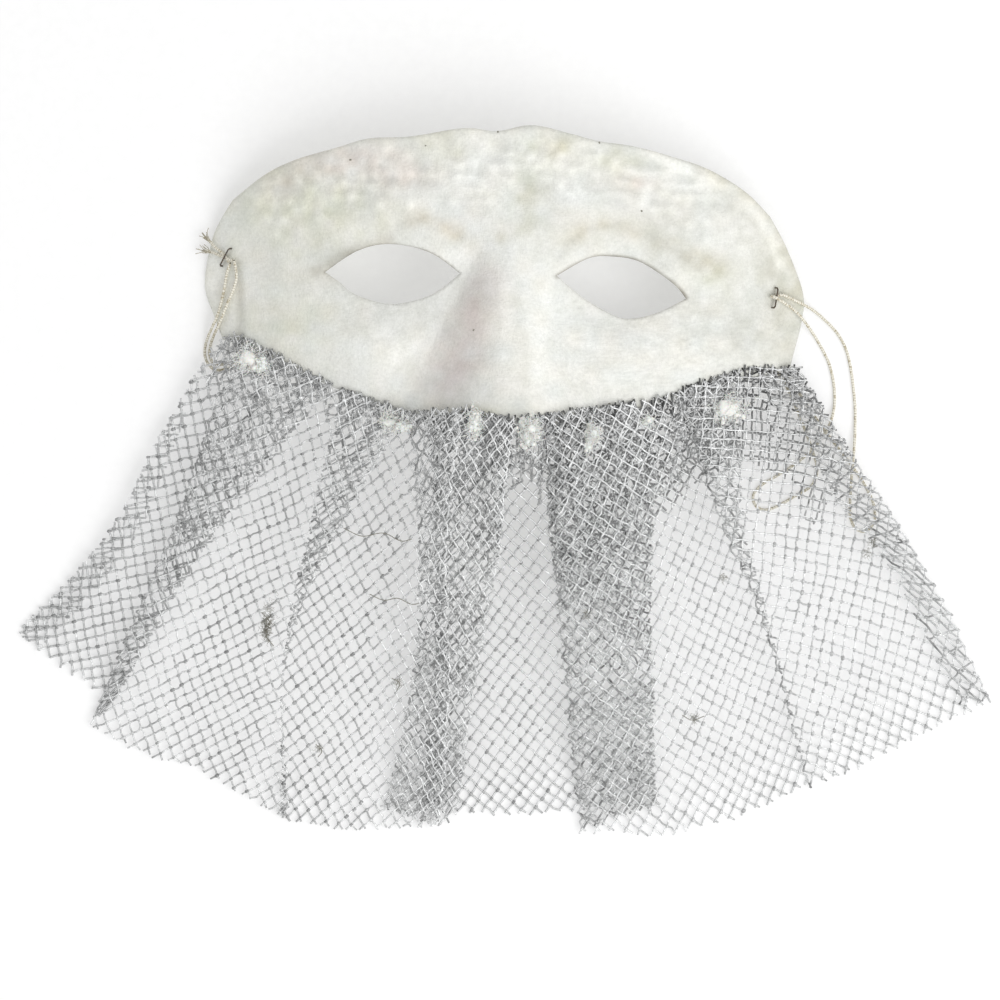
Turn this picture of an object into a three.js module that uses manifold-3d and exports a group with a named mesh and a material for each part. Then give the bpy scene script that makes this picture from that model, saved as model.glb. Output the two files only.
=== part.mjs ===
// A domino mask of moulded felt, lying face up, with a gathered net veil glued along its lower edge
// and a doubled elastic that is stapled to both temples.
// Millimetres. X runs across the face, Y from the veil's hem up to the forehead, Z up from the table.

import * as THREE from 'three';
import { mergeVertices } from 'three/addons/utils/BufferGeometryUtils.js';
import Module from 'manifold-3d';

const wasm = await Module();
wasm.setup();

// Driving dimensions of the mask

const FACE_CENTRE = [0.4, 56.0]; // the point between the eyes, in the part's frame
const FACE_TILT = THREE.MathUtils.degToRad(-2.2); // the mask lies turned a little clockwise
const HALF_WIDTH = 86.2; // from the middle of the face to the temples' rims
const ARCH_DEPTH = 32; // how far the brow stands above the rims
const ARCH_RADIUS = (HALF_WIDTH ** 2 + ARCH_DEPTH ** 2) / (2 * ARCH_DEPTH);
const RIM_LIFT = 1.16; // keeps the inner edge of the temples on the table
const FELT = 1.4; // thickness of the moulded felt
const LEVEL_LINE = 8; // height on the face of the line that stands highest
const FOREHEAD_ROLL = 0.0031; // fall above that line, per mm squared
const CHEEK_ROLL = 0.0018; // fall below it

const EYE_X = 33; // half the distance between the eyes
const SOCKET = { y: -0.5, depth: 5, rx: 21, ry: 12 };
const BROW = { y: 21, bend: 0.013, peak: 27, rise: 1.1, spread: 6, reach: 22 };
const CHEEK = { x: 42, y: -19, rise: 1.5, rx: 16, ry: 11 };
const NOSE = { root: 14, length: 54, height: 20, ridgeX: -2, drift: 6 };
const NOSE_LEFT = { root: 4, flare: 30 }; // the flank's width at the root, and what it gains below
const NOSE_RIGHT = { root: 3.5, flare: 26 };

const SHELL_COLUMNS = 56;
const SHELL_ROWS = 16;

// The mask's outline in the face frame, side by side, each from left to right or from bottom to top

const LOWER_EDGE = [
  [-80.3, -19], [-72.1, -23.6], [-66.3, -27.1], [-51.7, -34.2], [-38.7, -39.1], [-26.3, -42.1],
  [-8.6, -42.5], [3.4, -43.2], [14.2, -43.1], [25.6, -42.4], [32.6, -39.5], [46.1, -35.9],
  [60, -31.9], [70.7, -28.4], [81.9, -23.1],
];
const UPPER_EDGE = [
  [-79, 20.9], [-70.1, 28.4], [-61.4, 33], [-49.6, 36.9], [-40.6, 39.8], [-28.7, 40.8],
  [-13.7, 43.7], [-4.2, 43.2], [5.7, 45.3], [17.2, 43.2], [24.9, 41.5], [35, 40.4],
  [45.6, 38], [56.6, 34.7], [67.3, 28.8], [74.7, 22],
];
const LEFT_EDGE = [[-80.3, -19], [-83.1, -12.3], [-86.1, -3], [-84, 11], [-79, 20.9]];
const RIGHT_EDGE = [[81.9, -23.1], [82.6, -18.8], [85, -7.3], [85, 0.7], [79.9, 13.1], [74.7, 22]];

// The eye holes in the face frame, each lid from the outer to the inner corner

const LEFT_EYE = {
  upper: [[-51.7, 1.2], [-42.5, 7.5], [-33.2, 9.7], [-22, 7.7], [-13.3, 2.2]],
  lower: [[-51.7, 1.2], [-47.3, -1.5], [-42.6, -4.7], [-32.5, -6.9], [-21.5, -4.1], [-13.3, 2.2]],
};
const RIGHT_EYE = {
  upper: [[51.5, -2.3], [47.6, 1.7], [37.9, 7.4], [29.5, 8.6], [23.1, 7.7], [14.5, 2.6]],
  lower: [[51.5, -2.3], [42.7, -6.8], [34.3, -8.5], [27.5, -6.1], [21.2, -2.5], [14.5, 2.6]],
};
const LID_STEPS = 12;

// The staples, in the face frame: the two ends of each crown

const STAPLES = {
  left: [[-78.4, 7.0], [-80.8, 2.0]],
  right: [[76.7, 1.8], [76.0, -3.9]],
};
const STAPLE_WIRE = 0.5;
const CROWN_RISE = 1.4; // the crown stands off the felt by the elastic that it holds
const CLINCH_DROP = 1.0; // the bent legs lie this far behind the felt
const CLINCH_LENGTH = 1.9;
const LEG_HOLE = 1.2;
const GAP = 0.3; // kept between pieces that touch

// The veil

const NET = 1.2; // thickness of one layer, with its waves
const PLEAT = 2.6; // thickness where it is folded in three
const NET_ABOVE_FELT = 0.8;
const GLUED = 0.075; // share of the veil's length that lies on the felt, 8 or 9 mm
const SWELL = 2.5; // the stiff net stands off the table between mask and hem
const CORD_ROOM = 3.5; // the veil's ends stand at least this high, and the elastic runs below
const HEM_REST = 0.04; // share of the fall at which the hem is down on the table
const VEIL_ROWS = 13;
const GLUED_ROWS = 2;

// The veil's fold lines in the part's frame, from the glued edge to the hem, from left to right:
// four points each, the number of columns up to the next line, and the thickness at the line.

const FOLD_LINES = [
  { line: [[-83.5, 38], [-100, 9.5], [-114, -16], [-138.5, -43]], columns: 2, thick: NET },
  { line: [[-82, 39.5], [-95, 4.5], [-110, -25], [-131, -49.5]], columns: 2, thick: NET },
  { line: [[-80, 41], [-89.5, 2], [-103, -30.5], [-116.5, -59]], columns: 1, thick: NET },
  { line: [[-77, 42.5], [-88.5, 2], [-101.5, -31], [-118.5, -69.5]], columns: 5, thick: PLEAT },
  { line: [[-49.5, 27.5], [-63, -10], [-76.5, -48.5], [-88, -81.5]], columns: 6, thick: NET },
  { line: [[-27.5, 19.5], [-45.5, -11.5], [-62, -51], [-61.5, -95.5]], columns: 4, thick: PLEAT },
  { line: [[-19, 20], [-25, -22.5], [-30, -59.5], [-34.5, -99]], columns: 3, thick: NET },
  { line: [[-11, 20.5], [-16, -18.5], [-15.5, -59.5], [-18.5, -98]], columns: 1, thick: PLEAT },
  { line: [[-8, 19.5], [-13, -19], [-13, -59.5], [-15, -94]], columns: 3, thick: NET },
  { line: [[7.5, 17.5], [6, -20], [4.5, -57], [3, -95]], columns: 2, thick: NET },
  { line: [[10, 18], [13, -21.5], [16, -57], [19.5, -92]], columns: 1, thick: NET },
  { line: [[13, 18], [15.5, -21.5], [18.5, -57], [22, -100]], columns: 5, thick: PLEAT },
  { line: [[45, 23.5], [42, -18.5], [42.5, -59.5], [45.5, -101]], columns: 5, thick: NET },
  { line: [[49.5, 25], [62, -13.5], [75, -45.5], [86, -87]], columns: 5, thick: PLEAT },
  { line: [[68, 31], [82, -5.5], [94, -40], [102, -81.5]], columns: 3, thick: NET },
  { line: [[75.5, 32.5], [97, -5.5], [108.5, -42.5], [117.5, -72]], columns: 1, thick: NET },
  { line: [[78, 32.5], [99, -4.5], [111.5, -39], [121, -67.5]], columns: 2, thick: NET },
  { line: [[82, 32.5], [103, -1], [120, -34], [133, -67]], columns: 1, thick: NET },
  { line: [[83.5, 32.5], [104.5, 0], [123.5, -31], [138.5, -62.5]], columns: 0, thick: NET },
];

// Drops of glue on the veil's glued strip: fold line counted from the left, share of the way to the
// hem, and size across, along and up

const GLUE_DABS = [
  { at: [3.25, 0.05], size: [6.5, 4, 1.2] },
  { at: [4.96, 0.06], size: [6, 2.4, 1.2] },
  { at: [8.97, 0.05], size: [2.8, 2.3, 1.4] },
  { at: [11.3, 0.07], size: [2.4, 2.9, 1.4] },
  { at: [13.55, 0.09], size: [8, 4, 1.2] },
];

// The elastic: two strands of one cord, from the left staple over the temple's rim, under the mask
// and up to the right staple, with the slack lying in loops under the veil's right end

const ELASTIC = 0.9;
const ELASTIC_SIDES = 8;
const KNOT_SIZE = [3.2, 2.4, 2.1]; // across, along and off the staple's crown
const HITCH_SIZE = [2.9, 2.8, 2.1];
const TAIL = 0.7;
const TAILS = [ // the frayed ends, in the left staple's own frame
  [[-1, 0.2, 1.5], [-4.5, 0.5, 1.3], [-8.4, 0.9, 0.8]],
  [[-1, -0.3, 1.4], [-4, -1.1, 1.1], [-7, -2.1, 0.7]],
];
const STRAND_1 = [
  [-78.2, 61.8, 8.7], [-79.1, 58.9, 7.7], [-79.9, 54.3, 6.9], [-80.8, 50.3, 6.2],
  [-81.8, 46.9, 5.4], [-83.1, 44.0, 4.3], [-84.3, 41.3, 2.2], [-85.2, 38.6, 0.6],
  [-85.4, 36.1, 0.5], [-84.6, 33.5, 0.5], [-82.5, 31.6, 0.5], [-78.5, 31.9, 0.5],
  [-72.5, 34.3, 0.5], [-40, 36.1, 0.5], [0.1, 36.2, 0.5], [40, 36.4, 0.5],
  [67.1, 36.5, 0.5], [74.5, 34.1, 0.5], [79.1, 28.9, 0.5], [82.5, 22.1, 0.5],
  [87.9, 8.1, 0.5], [89.1, 3.0, 0.5], [87.6, -1.3, 0.5], [83.4, -4.1, 0.5],
  [74.5, -8.4, 0.5], [71.7, -7.3, 0.5], [70.8, -4.7, 0.5], [72.5, -1.9, 0.5],
  [76.5, 0.7, 0.5], [80.8, 3.3, 0.8], [85.4, 6.7, 1.7], [89.3, 10.7, 1.7],
  [92.2, 15.0, 1.7], [93.9, 20.7, 0.8], [93.9, 26.6, 0.5], [92.6, 32.9, 0.5],
  [90.2, 38.0, 0.5], [87.6, 42.3, 1.4], [83.1, 48.0, 5.6], [78.9, 51.1, 8.3],
];
const STRAND_2 = [
  [-77.0, 62.4, 9.3], [-76.5, 60.0, 9.6], [-76.4, 57.3, 9.5], [-77.4, 54.0, 8.9],
  [-78.7, 51.0, 7.9], [-80.8, 45.7, 6.2], [-81.9, 43.3, 4.8], [-83.1, 40.6, 2.5],
  [-83.9, 38.0, 0.7], [-84.1, 35.9, 0.5], [-83.3, 33.9, 0.5], [-81.4, 33.1, 0.5],
  [-78.0, 33.5, 0.5], [-72.5, 35.7, 0.5], [-40, 37.4, 0.5], [0.1, 37.5, 0.5],
  [40, 37.7, 0.5], [67.1, 37.8, 0.5], [75.4, 35.3, 0.5], [80.5, 29.8, 0.5],
  [90.5, 15.2, 0.5], [99.3, 3.8, 0.5], [103.0, -1.9, 0.5], [105.3, -7.3, 0.5],
  [105.3, -11.8, 0.5], [103.0, -14.4, 0.5], [100.2, -13.8, 0.5], [98.6, -10.7, 0.5],
  [98.5, -5.6, 0.8], [98.9, 0.7, 1.7], [99.5, 7.3, 1.7], [99.9, 15.0, 0.8],
  [99.8, 22.4, 0.5], [97.9, 35.5, 0.5], [95.9, 40.3, 0.5], [93.3, 43.7, 0.7],
  [88.2, 48.3, 1.7], [85.9, 49.7, 3.2], [81.5, 51.9, 6.6], [78.9, 53.0, 8.3],
];

// Materials

function matte(color, roughness = 0.95, metalness = 0) {
  return new THREE.MeshStandardMaterial({ color, roughness, metalness });
}
const feltWhite = matte('#e6e6df');
const netSilver = matte('#9ea2a0', 0.6, 0.3);
const elasticCream = matte('#dcd8c4', 0.85);
const stapleSteel = matte('#6a6455', 0.5, 0.8);
const glueWhite = matte('#eceae2', 0.7);

// Solids for cutting and joining

function solidOf(geometry) {
  const bare = geometry.clone();
  bare.deleteAttribute('normal');
  bare.deleteAttribute('uv');
  const merged = mergeVertices(bare, 1e-4);
  return new wasm.Manifold(new wasm.Mesh({
    numProp: 3,
    vertProperties: new Float32Array(merged.attributes.position.array),
    triVerts: new Uint32Array(merged.index.array),
  }));
}

function geometryOf(solid) {
  const { vertProperties, triVerts } = solid.getMesh();
  const geometry = new THREE.BufferGeometry();
  geometry.setAttribute('position', new THREE.BufferAttribute(vertProperties, 3));
  geometry.setIndex(new THREE.BufferAttribute(triVerts, 1));
  geometry.computeVertexNormals();
  return geometry;
}

function named(name, geometry, material) {
  const mesh = new THREE.Mesh(geometry, material);
  mesh.name = name;
  return mesh;
}

// The front of the face: its height over the table at a place in the face frame

function hump(x, y, cx, cy, rx, ry) {
  return Math.exp(-(((x - cx) / rx) ** 2) - ((y - cy) / ry) ** 2);
}

function noseHeight(x, y) {
  const down = THREE.MathUtils.clamp((NOSE.root - y) / NOSE.length, 0, 1.15);
  const ridge = NOSE.ridgeX + NOSE.drift * down;
  const flank = x < ridge ? NOSE_LEFT : NOSE_RIGHT;
  const aside = Math.abs(x - ridge) / (flank.root + flank.flare * down);
  return aside < 1 ? NOSE.height * down ** 1.2 * (1 - aside ** 2) ** 1.5 : 0;
}

function frontHeight(x, y) {
  const across = Math.min(Math.abs(x), HALF_WIDTH + 3);
  const roll = y > LEVEL_LINE ? FOREHEAD_ROLL : CHEEK_ROLL;
  let height = Math.sqrt(ARCH_RADIUS ** 2 - across ** 2) - (ARCH_RADIUS - ARCH_DEPTH);
  height += RIM_LIFT - roll * (y - LEVEL_LINE) ** 2 + noseHeight(x, y);
  for (const side of [-1, 1]) {
    const browLine = BROW.y - BROW.bend * (Math.abs(x) - BROW.peak) ** 2;
    const overBrow = Math.exp(-(((y - browLine) / BROW.spread) ** 2));
    height -= SOCKET.depth * hump(x, y, side * EYE_X, SOCKET.y, SOCKET.rx, SOCKET.ry);
    height += BROW.rise * overBrow * Math.exp(-(((x - side * EYE_X) / BROW.reach) ** 2));
    height += CHEEK.rise * hump(x, y, side * CHEEK.x, CHEEK.y, CHEEK.rx, CHEEK.ry);
  }
  return height;
}

function frontNormal(x, y) {
  const step = 0.4;
  const slopeX = (frontHeight(x + step, y) - frontHeight(x - step, y)) / (2 * step);
  const slopeY = (frontHeight(x, y + step) - frontHeight(x, y - step)) / (2 * step);
  return new THREE.Vector3(-slopeX, -slopeY, 1).normalize();
}

function frontPoint(x, y) {
  return new THREE.Vector3(x, y, frontHeight(x, y));
}

// From the part's frame to the face frame
function toFace(x, y) {
  return new THREE.Vector2(x - FACE_CENTRE[0], y - FACE_CENTRE[1])
    .rotateAround(new THREE.Vector2(), -FACE_TILT);
}

// A closed sheet: a flat box whose places across, along and through are bent by a function

function bentSheet(columns, rows, place) {
  const sheet = new THREE.BoxGeometry(1, 1, 1, columns, rows, 1);
  const position = sheet.attributes.position;
  for (let i = 0; i < position.count; i++) {
    const across = position.getX(i) + 0.5;
    const along = position.getY(i) + 0.5;
    const point = place(across, along, position.getZ(i) > 0);
    position.setXYZ(i, point.x, point.y, point.z);
  }
  return sheet;
}

// The moulded felt

function splineOf(points) {
  return new THREE.SplineCurve(points.map(([x, y]) => new THREE.Vector2(x, y)));
}

// A patch between four edges, blended so that each edge is kept
function patchBetween(lower, upper, left, right) {
  const [p00, p10] = [lower.getPoint(0), lower.getPoint(1)];
  const [p01, p11] = [upper.getPoint(0), upper.getPoint(1)];
  return (u, v) => {
    const [low, high] = [lower.getPointAt(u), upper.getPointAt(u)];
    const [a, b] = [left.getPointAt(v), right.getPointAt(v)];
    const blend = (axis) => (1 - v) * low[axis] + v * high[axis]
      + (1 - u) * a[axis] + u * b[axis]
      - (1 - u) * ((1 - v) * p00[axis] + v * p01[axis])
      - u * ((1 - v) * p10[axis] + v * p11[axis]);
    return [blend('x'), blend('y')];
  };
}

function shellGeometry() {
  const patch = patchBetween(...[LOWER_EDGE, UPPER_EDGE, LEFT_EDGE, RIGHT_EDGE].map(splineOf));
  return bentSheet(SHELL_COLUMNS, SHELL_ROWS, (u, v, onFront) => {
    const [x, y] = patch(u, v);
    const point = frontPoint(x, y);
    return onFront ? point : point.addScaledVector(frontNormal(x, y), -FELT);
  });
}

function eyeCutter({ upper, lower }) {
  const lid = splineOf(upper).getPoints(LID_STEPS);
  const underLid = splineOf(lower).getPoints(LID_STEPS).reverse();
  const outline = new THREE.Shape([...lid, ...underLid.slice(1, -1)]);
  return new THREE.ExtrudeGeometry(outline, { depth: 60, bevelEnabled: false });
}

// The frame of a staple: its origin midway on the felt, Y along the crown and Z out of the felt
function stapleFrame([[x1, y1], [x2, y2]]) {
  const [x, y] = [(x1 + x2) / 2, (y1 + y2) / 2];
  const out = frontNormal(x, y);
  const along = frontPoint(x1, y1).sub(frontPoint(x2, y2)).normalize();
  const across = new THREE.Vector3().crossVectors(along, out).normalize();
  along.crossVectors(out, across);
  return new THREE.Matrix4().makeBasis(across, along, out).setPosition(frontPoint(x, y));
}

function crownLength([[x1, y1], [x2, y2]]) {
  return frontPoint(x1, y1).distanceTo(frontPoint(x2, y2));
}

function legHoles(ends) {
  return [-1, 1].map((side) => new THREE.CylinderGeometry(LEG_HOLE / 2, LEG_HOLE / 2, 6, 10)
    .rotateX(Math.PI / 2)
    .translate(0, side * crownLength(ends) / 2, 0)
    .applyMatrix4(stapleFrame(ends)));
}

function maskShell() {
  let felt = solidOf(shellGeometry());
  const holes = Object.values(STAPLES).flatMap(legHoles);
  for (const cutter of [eyeCutter(LEFT_EYE), eyeCutter(RIGHT_EYE), ...holes]) {
    felt = felt.subtract(solidOf(cutter));
  }
  return named('mask_shell', geometryOf(felt), feltWhite);
}

// Tubes

function roundSection(diameter, sides) {
  const corners = Array.from({ length: sides }, (_, i) => (i / sides) * 2 * Math.PI)
    .map((turn) => new THREE.Vector2(Math.cos(turn), Math.sin(turn)).multiplyScalar(diameter / 2));
  return new THREE.Shape(corners);
}

// A route whose rings stand at its own points, which lie closer together in the bends
class Route extends THREE.CatmullRomCurve3 {
  getPointAt(u, target) {
    return this.getPoint(u, target);
  }

  getTangentAt(u, target) {
    return this.getTangent(u, target);
  }
}

function tubeAlong(points, diameter, sides) {
  const route = new Route(points, false, 'centripetal');
  const steps = points.length - 1;
  return new THREE.ExtrudeGeometry(roundSection(diameter, sides), { steps, extrudePath: route });
}

// The staples and what they hold

function staple(side) {
  const half = crownLength(STAPLES[side]) / 2;
  const back = -FELT - CLINCH_DROP;
  const bend = 0.5;
  const leg = [
    [0, half - CLINCH_LENGTH, back - 0.1], [0, half - bend, back], [0, half, back + bend],
    [0, half, CROWN_RISE - bend], [0, half - bend, CROWN_RISE],
  ];
  const otherLeg = leg.map(([x, y, z]) => [x, -y, z]).reverse();
  const wire = [...leg, ...otherLeg].map((p) => new THREE.Vector3(...p));
  const mesh = named(`staple_${side}`, tubeAlong(wire, STAPLE_WIRE, 6), stapleSteel);
  mesh.applyMatrix4(stapleFrame(STAPLES[side]));
  return mesh;
}

// A lump of elastic round a crown's middle, with any loose tails, bored for the wire
function lumpOnCrown(name, side, size, tails = []) {
  let lump = solidOf(new THREE.SphereGeometry(0.5, 12, 8).scale(...size).translate(0, 0, CROWN_RISE));
  for (const tail of tails) {
    const points = tail.map((p) => new THREE.Vector3(...p));
    lump = lump.add(solidOf(tubeAlong(points, TAIL, 6)));
  }
  const boreRadius = STAPLE_WIRE / 2 + GAP;
  const bore = new THREE.CylinderGeometry(boreRadius, boreRadius, 10, 8).translate(0, 0, CROWN_RISE);
  const mesh = named(name, geometryOf(lump.subtract(solidOf(bore))), elasticCream);
  mesh.applyMatrix4(stapleFrame(STAPLES[side]));
  return mesh;
}

function elasticStrand(name, route) {
  const points = route.map((p) => new THREE.Vector3(...p));
  return named(name, tubeAlong(points, ELASTIC, ELASTIC_SIDES), elasticCream);
}

// The veil

const foldCurves = FOLD_LINES.map(({ line }) => splineOf(line));

// Where a place across the veil falls, as a fold line's number with the share of the way to the next
const columnTotal = FOLD_LINES.reduce((sum, { columns }) => sum + columns, 0);
function lineNumber(across) {
  let rest = across * columnTotal;
  for (const [i, { columns }] of FOLD_LINES.entries()) {
    if (rest <= columns + 1e-6 && columns > 0) return i + rest / columns;
    rest -= columns;
  }
  return FOLD_LINES.length - 1;
}

// A point of the veil: its plan comes from the two fold lines beside it, and its height from the
// felt under the glued strip and then from the fall to the table
function veilPoint(line, share) {
  const first = Math.min(Math.floor(line), FOLD_LINES.length - 2);
  const between = line - first;
  const plan = foldCurves[first].getPoint(share)
    .lerp(foldCurves[first + 1].getPoint(share), between);
  if (share <= GLUED) {
    const place = toFace(plan.x, plan.y);
    const height = Math.max(frontHeight(place.x, place.y) + NET_ABOVE_FELT, CORD_ROOM);
    return new THREE.Vector3(plan.x, plan.y, height);
  }
  const edge = veilPoint(line, GLUED).z;
  const way = (share - GLUED) / (1 - GLUED);
  const steep = 1.2 + 0.4 * Math.exp(-((plan.x / 60) ** 2));
  const fall = (1 + HEM_REST) * (1 - way) ** steep - HEM_REST;
  const swell = SWELL * Math.sin(Math.PI * Math.min(1, way / (1 - HEM_REST)));
  return new THREE.Vector3(plan.x, plan.y, Math.max(0, edge * fall + swell));
}

function veilThickness(line) {
  const first = Math.min(Math.floor(line), FOLD_LINES.length - 2);
  return THREE.MathUtils.lerp(FOLD_LINES[first].thick, FOLD_LINES[first + 1].thick, line - first);
}

// Rows are close together over the glued strip and wider towards the hem
function rowShare(row) {
  if (row <= GLUED_ROWS) return GLUED * row / GLUED_ROWS;
  return GLUED + (1 - GLUED) * (row - GLUED_ROWS) / (VEIL_ROWS - GLUED_ROWS);
}

function netVeil() {
  const sheet = bentSheet(columnTotal, VEIL_ROWS, (across, along, onTop) => {
    const line = lineNumber(across);
    const point = veilPoint(line, rowShare((1 - along) * VEIL_ROWS));
    return onTop ? point.add(new THREE.Vector3(0, 0, veilThickness(line))) : point;
  });
  return named('net_veil', sheet, netSilver);
}

function glueDab({ at: [line, share], size }, index) {
  const [here, beside, below] = [
    veilPoint(line, share), veilPoint(line + 0.1, share), veilPoint(line, share + 0.02)];
  const across = beside.sub(here).normalize();
  const out = new THREE.Vector3().crossVectors(below.sub(here), across).normalize();
  const along = new THREE.Vector3().crossVectors(out, across);
  const lens = new THREE.SphereGeometry(0.5, 8, 5).scale(...size);
  const mesh = named(`glue_dab_${index + 1}`, lens, glueWhite);
  const rise = veilThickness(line) + 2 * GAP + size[2] / 2; // clears the flat facets of the net
  mesh.applyMatrix4(new THREE.Matrix4().makeBasis(across, along, out).setPosition(here));
  mesh.position.addScaledVector(out, rise);
  return mesh;
}

// The whole object

const face = new THREE.Group();
face.position.set(...FACE_CENTRE, 0);
face.rotation.z = FACE_TILT;
face.add(maskShell(), staple('left'), staple('right'));
face.add(lumpOnCrown('elastic_knot', 'left', KNOT_SIZE, TAILS));
face.add(lumpOnCrown('elastic_hitch', 'right', HITCH_SIZE));

const mask = new THREE.Group();
mask.add(face, netVeil());
mask.add(elasticStrand('elastic_strand_1', STRAND_1), elasticStrand('elastic_strand_2', STRAND_2));
mask.add(...GLUE_DABS.map(glueDab));

export default mask;
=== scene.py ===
# %% [markdown]
# # A domino mask with a net veil
# The object is an old half mask of pressed felt. It lies face up on a table, seen straight from
# above. A strip of silvery net is gathered and glued along its lower edge, and a doubled elastic is
# stapled at both temples. Everything is built in code, in metres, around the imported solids. Sizes in
# the script are millimetres, unless a comment says otherwise.

import math

import bpy
import numpy as np
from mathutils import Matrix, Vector, geometry
from mathutils.bvhtree import BVHTree
from mathutils.kdtree import KDTree


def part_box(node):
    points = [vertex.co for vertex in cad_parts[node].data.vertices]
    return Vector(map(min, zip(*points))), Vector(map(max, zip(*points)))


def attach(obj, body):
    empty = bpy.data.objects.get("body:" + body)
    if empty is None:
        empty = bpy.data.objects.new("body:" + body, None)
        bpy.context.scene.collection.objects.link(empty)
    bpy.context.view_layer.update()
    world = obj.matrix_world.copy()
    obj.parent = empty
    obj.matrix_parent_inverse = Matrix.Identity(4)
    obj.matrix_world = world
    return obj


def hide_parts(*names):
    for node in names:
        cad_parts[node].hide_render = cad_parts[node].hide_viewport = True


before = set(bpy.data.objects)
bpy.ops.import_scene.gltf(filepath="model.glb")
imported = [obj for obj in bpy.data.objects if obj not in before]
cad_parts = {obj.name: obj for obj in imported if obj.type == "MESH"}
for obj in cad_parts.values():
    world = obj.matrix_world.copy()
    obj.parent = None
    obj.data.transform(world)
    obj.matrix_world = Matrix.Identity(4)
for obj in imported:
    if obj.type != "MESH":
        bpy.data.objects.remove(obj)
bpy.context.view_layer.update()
MM = 0.001
print("nodes:", ", ".join(sorted(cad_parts)))

# %% [markdown]
# ## Camera
# The picture is flat on: the camera looks straight down. A long lens from far away keeps the nose,
# which stands 5 cm above the table, from looking larger than the rim. A parallel camera would do
# that too, but a long lens still shows a little of the nose's flanks. A thousand pixels cover 285 mm
# of the table, so one pixel is 0.285 mm, and places read off the picture can be turned into sizes.

# %% Camera
PHOTO_PIXELS = 1000
MM_PER_PIXEL = 0.285
ORIGIN_PIXEL = (504.5, 480.5)  # where the part's origin falls in the picture
CAMERA_HEIGHT = 8.0  # metres
SENSOR = 36


def at_pixel(px, py):
    """The place on the table, in millimetres, that a pixel of the picture shows."""
    return (px - ORIGIN_PIXEL[0]) * MM_PER_PIXEL, (ORIGIN_PIXEL[1] - py) * MM_PER_PIXEL


camera = bpy.data.objects.new("camera", bpy.data.cameras.new("camera"))
bpy.context.collection.objects.link(camera)
camera_x, camera_y = at_pixel(PHOTO_PIXELS / 2, PHOTO_PIXELS / 2)
camera.location = (camera_x * MM, camera_y * MM, CAMERA_HEIGHT)
camera.data.sensor_width = SENSOR
camera.data.lens = SENSOR * CAMERA_HEIGHT / (PHOTO_PIXELS * MM_PER_PIXEL * MM)
camera.data.clip_end = 100
bpy.context.scene.camera = camera
print("lens %.0f mm" % camera.data.lens)

# %% [markdown]
# ## Pieces from arrays
# Every piece is a mesh made from arrays of vertices and faces. Modelling by hand with modifiers
# would also do for the felt, but the net has over a thousand threads, and arrays make them in a
# moment. One function fills a mesh from the arrays, and another puts the piece on the part and hides
# the simple solids that it stands for.

# %% Pieces from arrays
def mesh_object(name, vertices, faces):
    """A smooth mesh object from arrays in millimetres in the part's frame."""
    mesh = bpy.data.meshes.new(name)
    vertices = np.asarray(vertices, float) * MM
    faces = np.asarray(faces)
    mesh.vertices.add(len(vertices))
    mesh.vertices.foreach_set("co", vertices.ravel())
    mesh.loops.add(faces.size)
    mesh.loops.foreach_set("vertex_index", faces.ravel())
    mesh.polygons.add(len(faces))
    mesh.polygons.foreach_set("loop_start", np.arange(0, faces.size, faces.shape[1]))
    mesh.update(calc_edges=True)
    mesh.validate()
    mesh.shade_smooth()
    piece = bpy.data.objects.new(name, mesh)
    bpy.context.collection.objects.link(piece)
    return piece


def piece_of(name, vertices, faces, slot, *nodes, **shades):
    """A mesh piece that rides on the part, with the nodes it stands for hidden.

    Shades are values for each vertex, which the piece's material can read by name. The slot is not used.
    """
    piece = mesh_object(name, vertices, faces)
    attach(piece, "root")
    if nodes:
        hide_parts(*nodes)
    for shade, values in shades.items():
        piece.data.attributes.new(shade, "FLOAT", "POINT").data.foreach_set("value", values)
    return piece


def unit(vectors):
    return vectors / np.maximum(np.linalg.norm(vectors, axis=-1, keepdims=True), 1e-9)


def clipped(values):
    """Values held between 0 and 1."""
    return np.clip(values, 0, 1)


print("ready to make pieces")

# %% [markdown]
# ## Tubes and braid
# Elastic, threads and fibres are all tubes. A curve with a round bevel makes a tube too, but a small
# function that lays rings of vertices along a line can take a radius for each vertex, so a braid's
# yarns can stand out of the round. Real relief catches the light from every side, which a painted
# pattern doesn't.

# %% Tubes and braid
def tube(line, radius, sides, up=(0, 0, 1)):
    """Vertices and faces of an open tube along a line, with one radius or one for each vertex."""
    line = np.asarray(line, float)
    way = unit(np.gradient(line, axis=0))
    side = unit(np.cross(way, up))
    turn = np.arange(sides) * 2 * math.pi / sides + math.pi / 2
    ring = np.cos(turn)[:, None] * side[:, None] + np.sin(turn)[:, None] * np.cross(side, way)[:, None]
    radius = np.asarray(radius, float)
    radius = radius.reshape(len(line) if radius.size > 1 else 1, -1, 1)
    index = np.arange(len(line) * sides).reshape(len(line), sides)
    after = np.roll(index, -1, axis=1)
    faces = np.stack([index[:-1], after[:-1], after[1:], index[1:]], -1).reshape(-1, 4)
    return (line[:, None] + ring * radius).reshape(-1, 3), faces


def joined(parts):
    """Several pairs of vertices and faces as one pair."""
    starts = np.cumsum([0] + [len(vertices) for vertices, _ in parts])
    return (np.vstack([vertices for vertices, _ in parts]),
            np.vstack([faces + start for start, (_, faces) in zip(starts, parts)]))


def even_line(points, step):
    """Points at even steps along a line of points, the last one included."""
    points = np.asarray(points, float)
    along = np.concatenate([[0], np.cumsum(np.linalg.norm(np.diff(points, axis=0), axis=1))])
    stops = np.linspace(0, along[-1], max(3, round(along[-1] / step) + 1))
    return np.column_stack([np.interp(stops, along, column) for column in points.T])


BRAID_SIDES = 12
BRAID_STEP = 0.2
BRAID_REPEAT = 1.5
YARNS = 3
YARN_RELIEF = 0.16  # how far the yarns stand out, as a share of the radius


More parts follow.
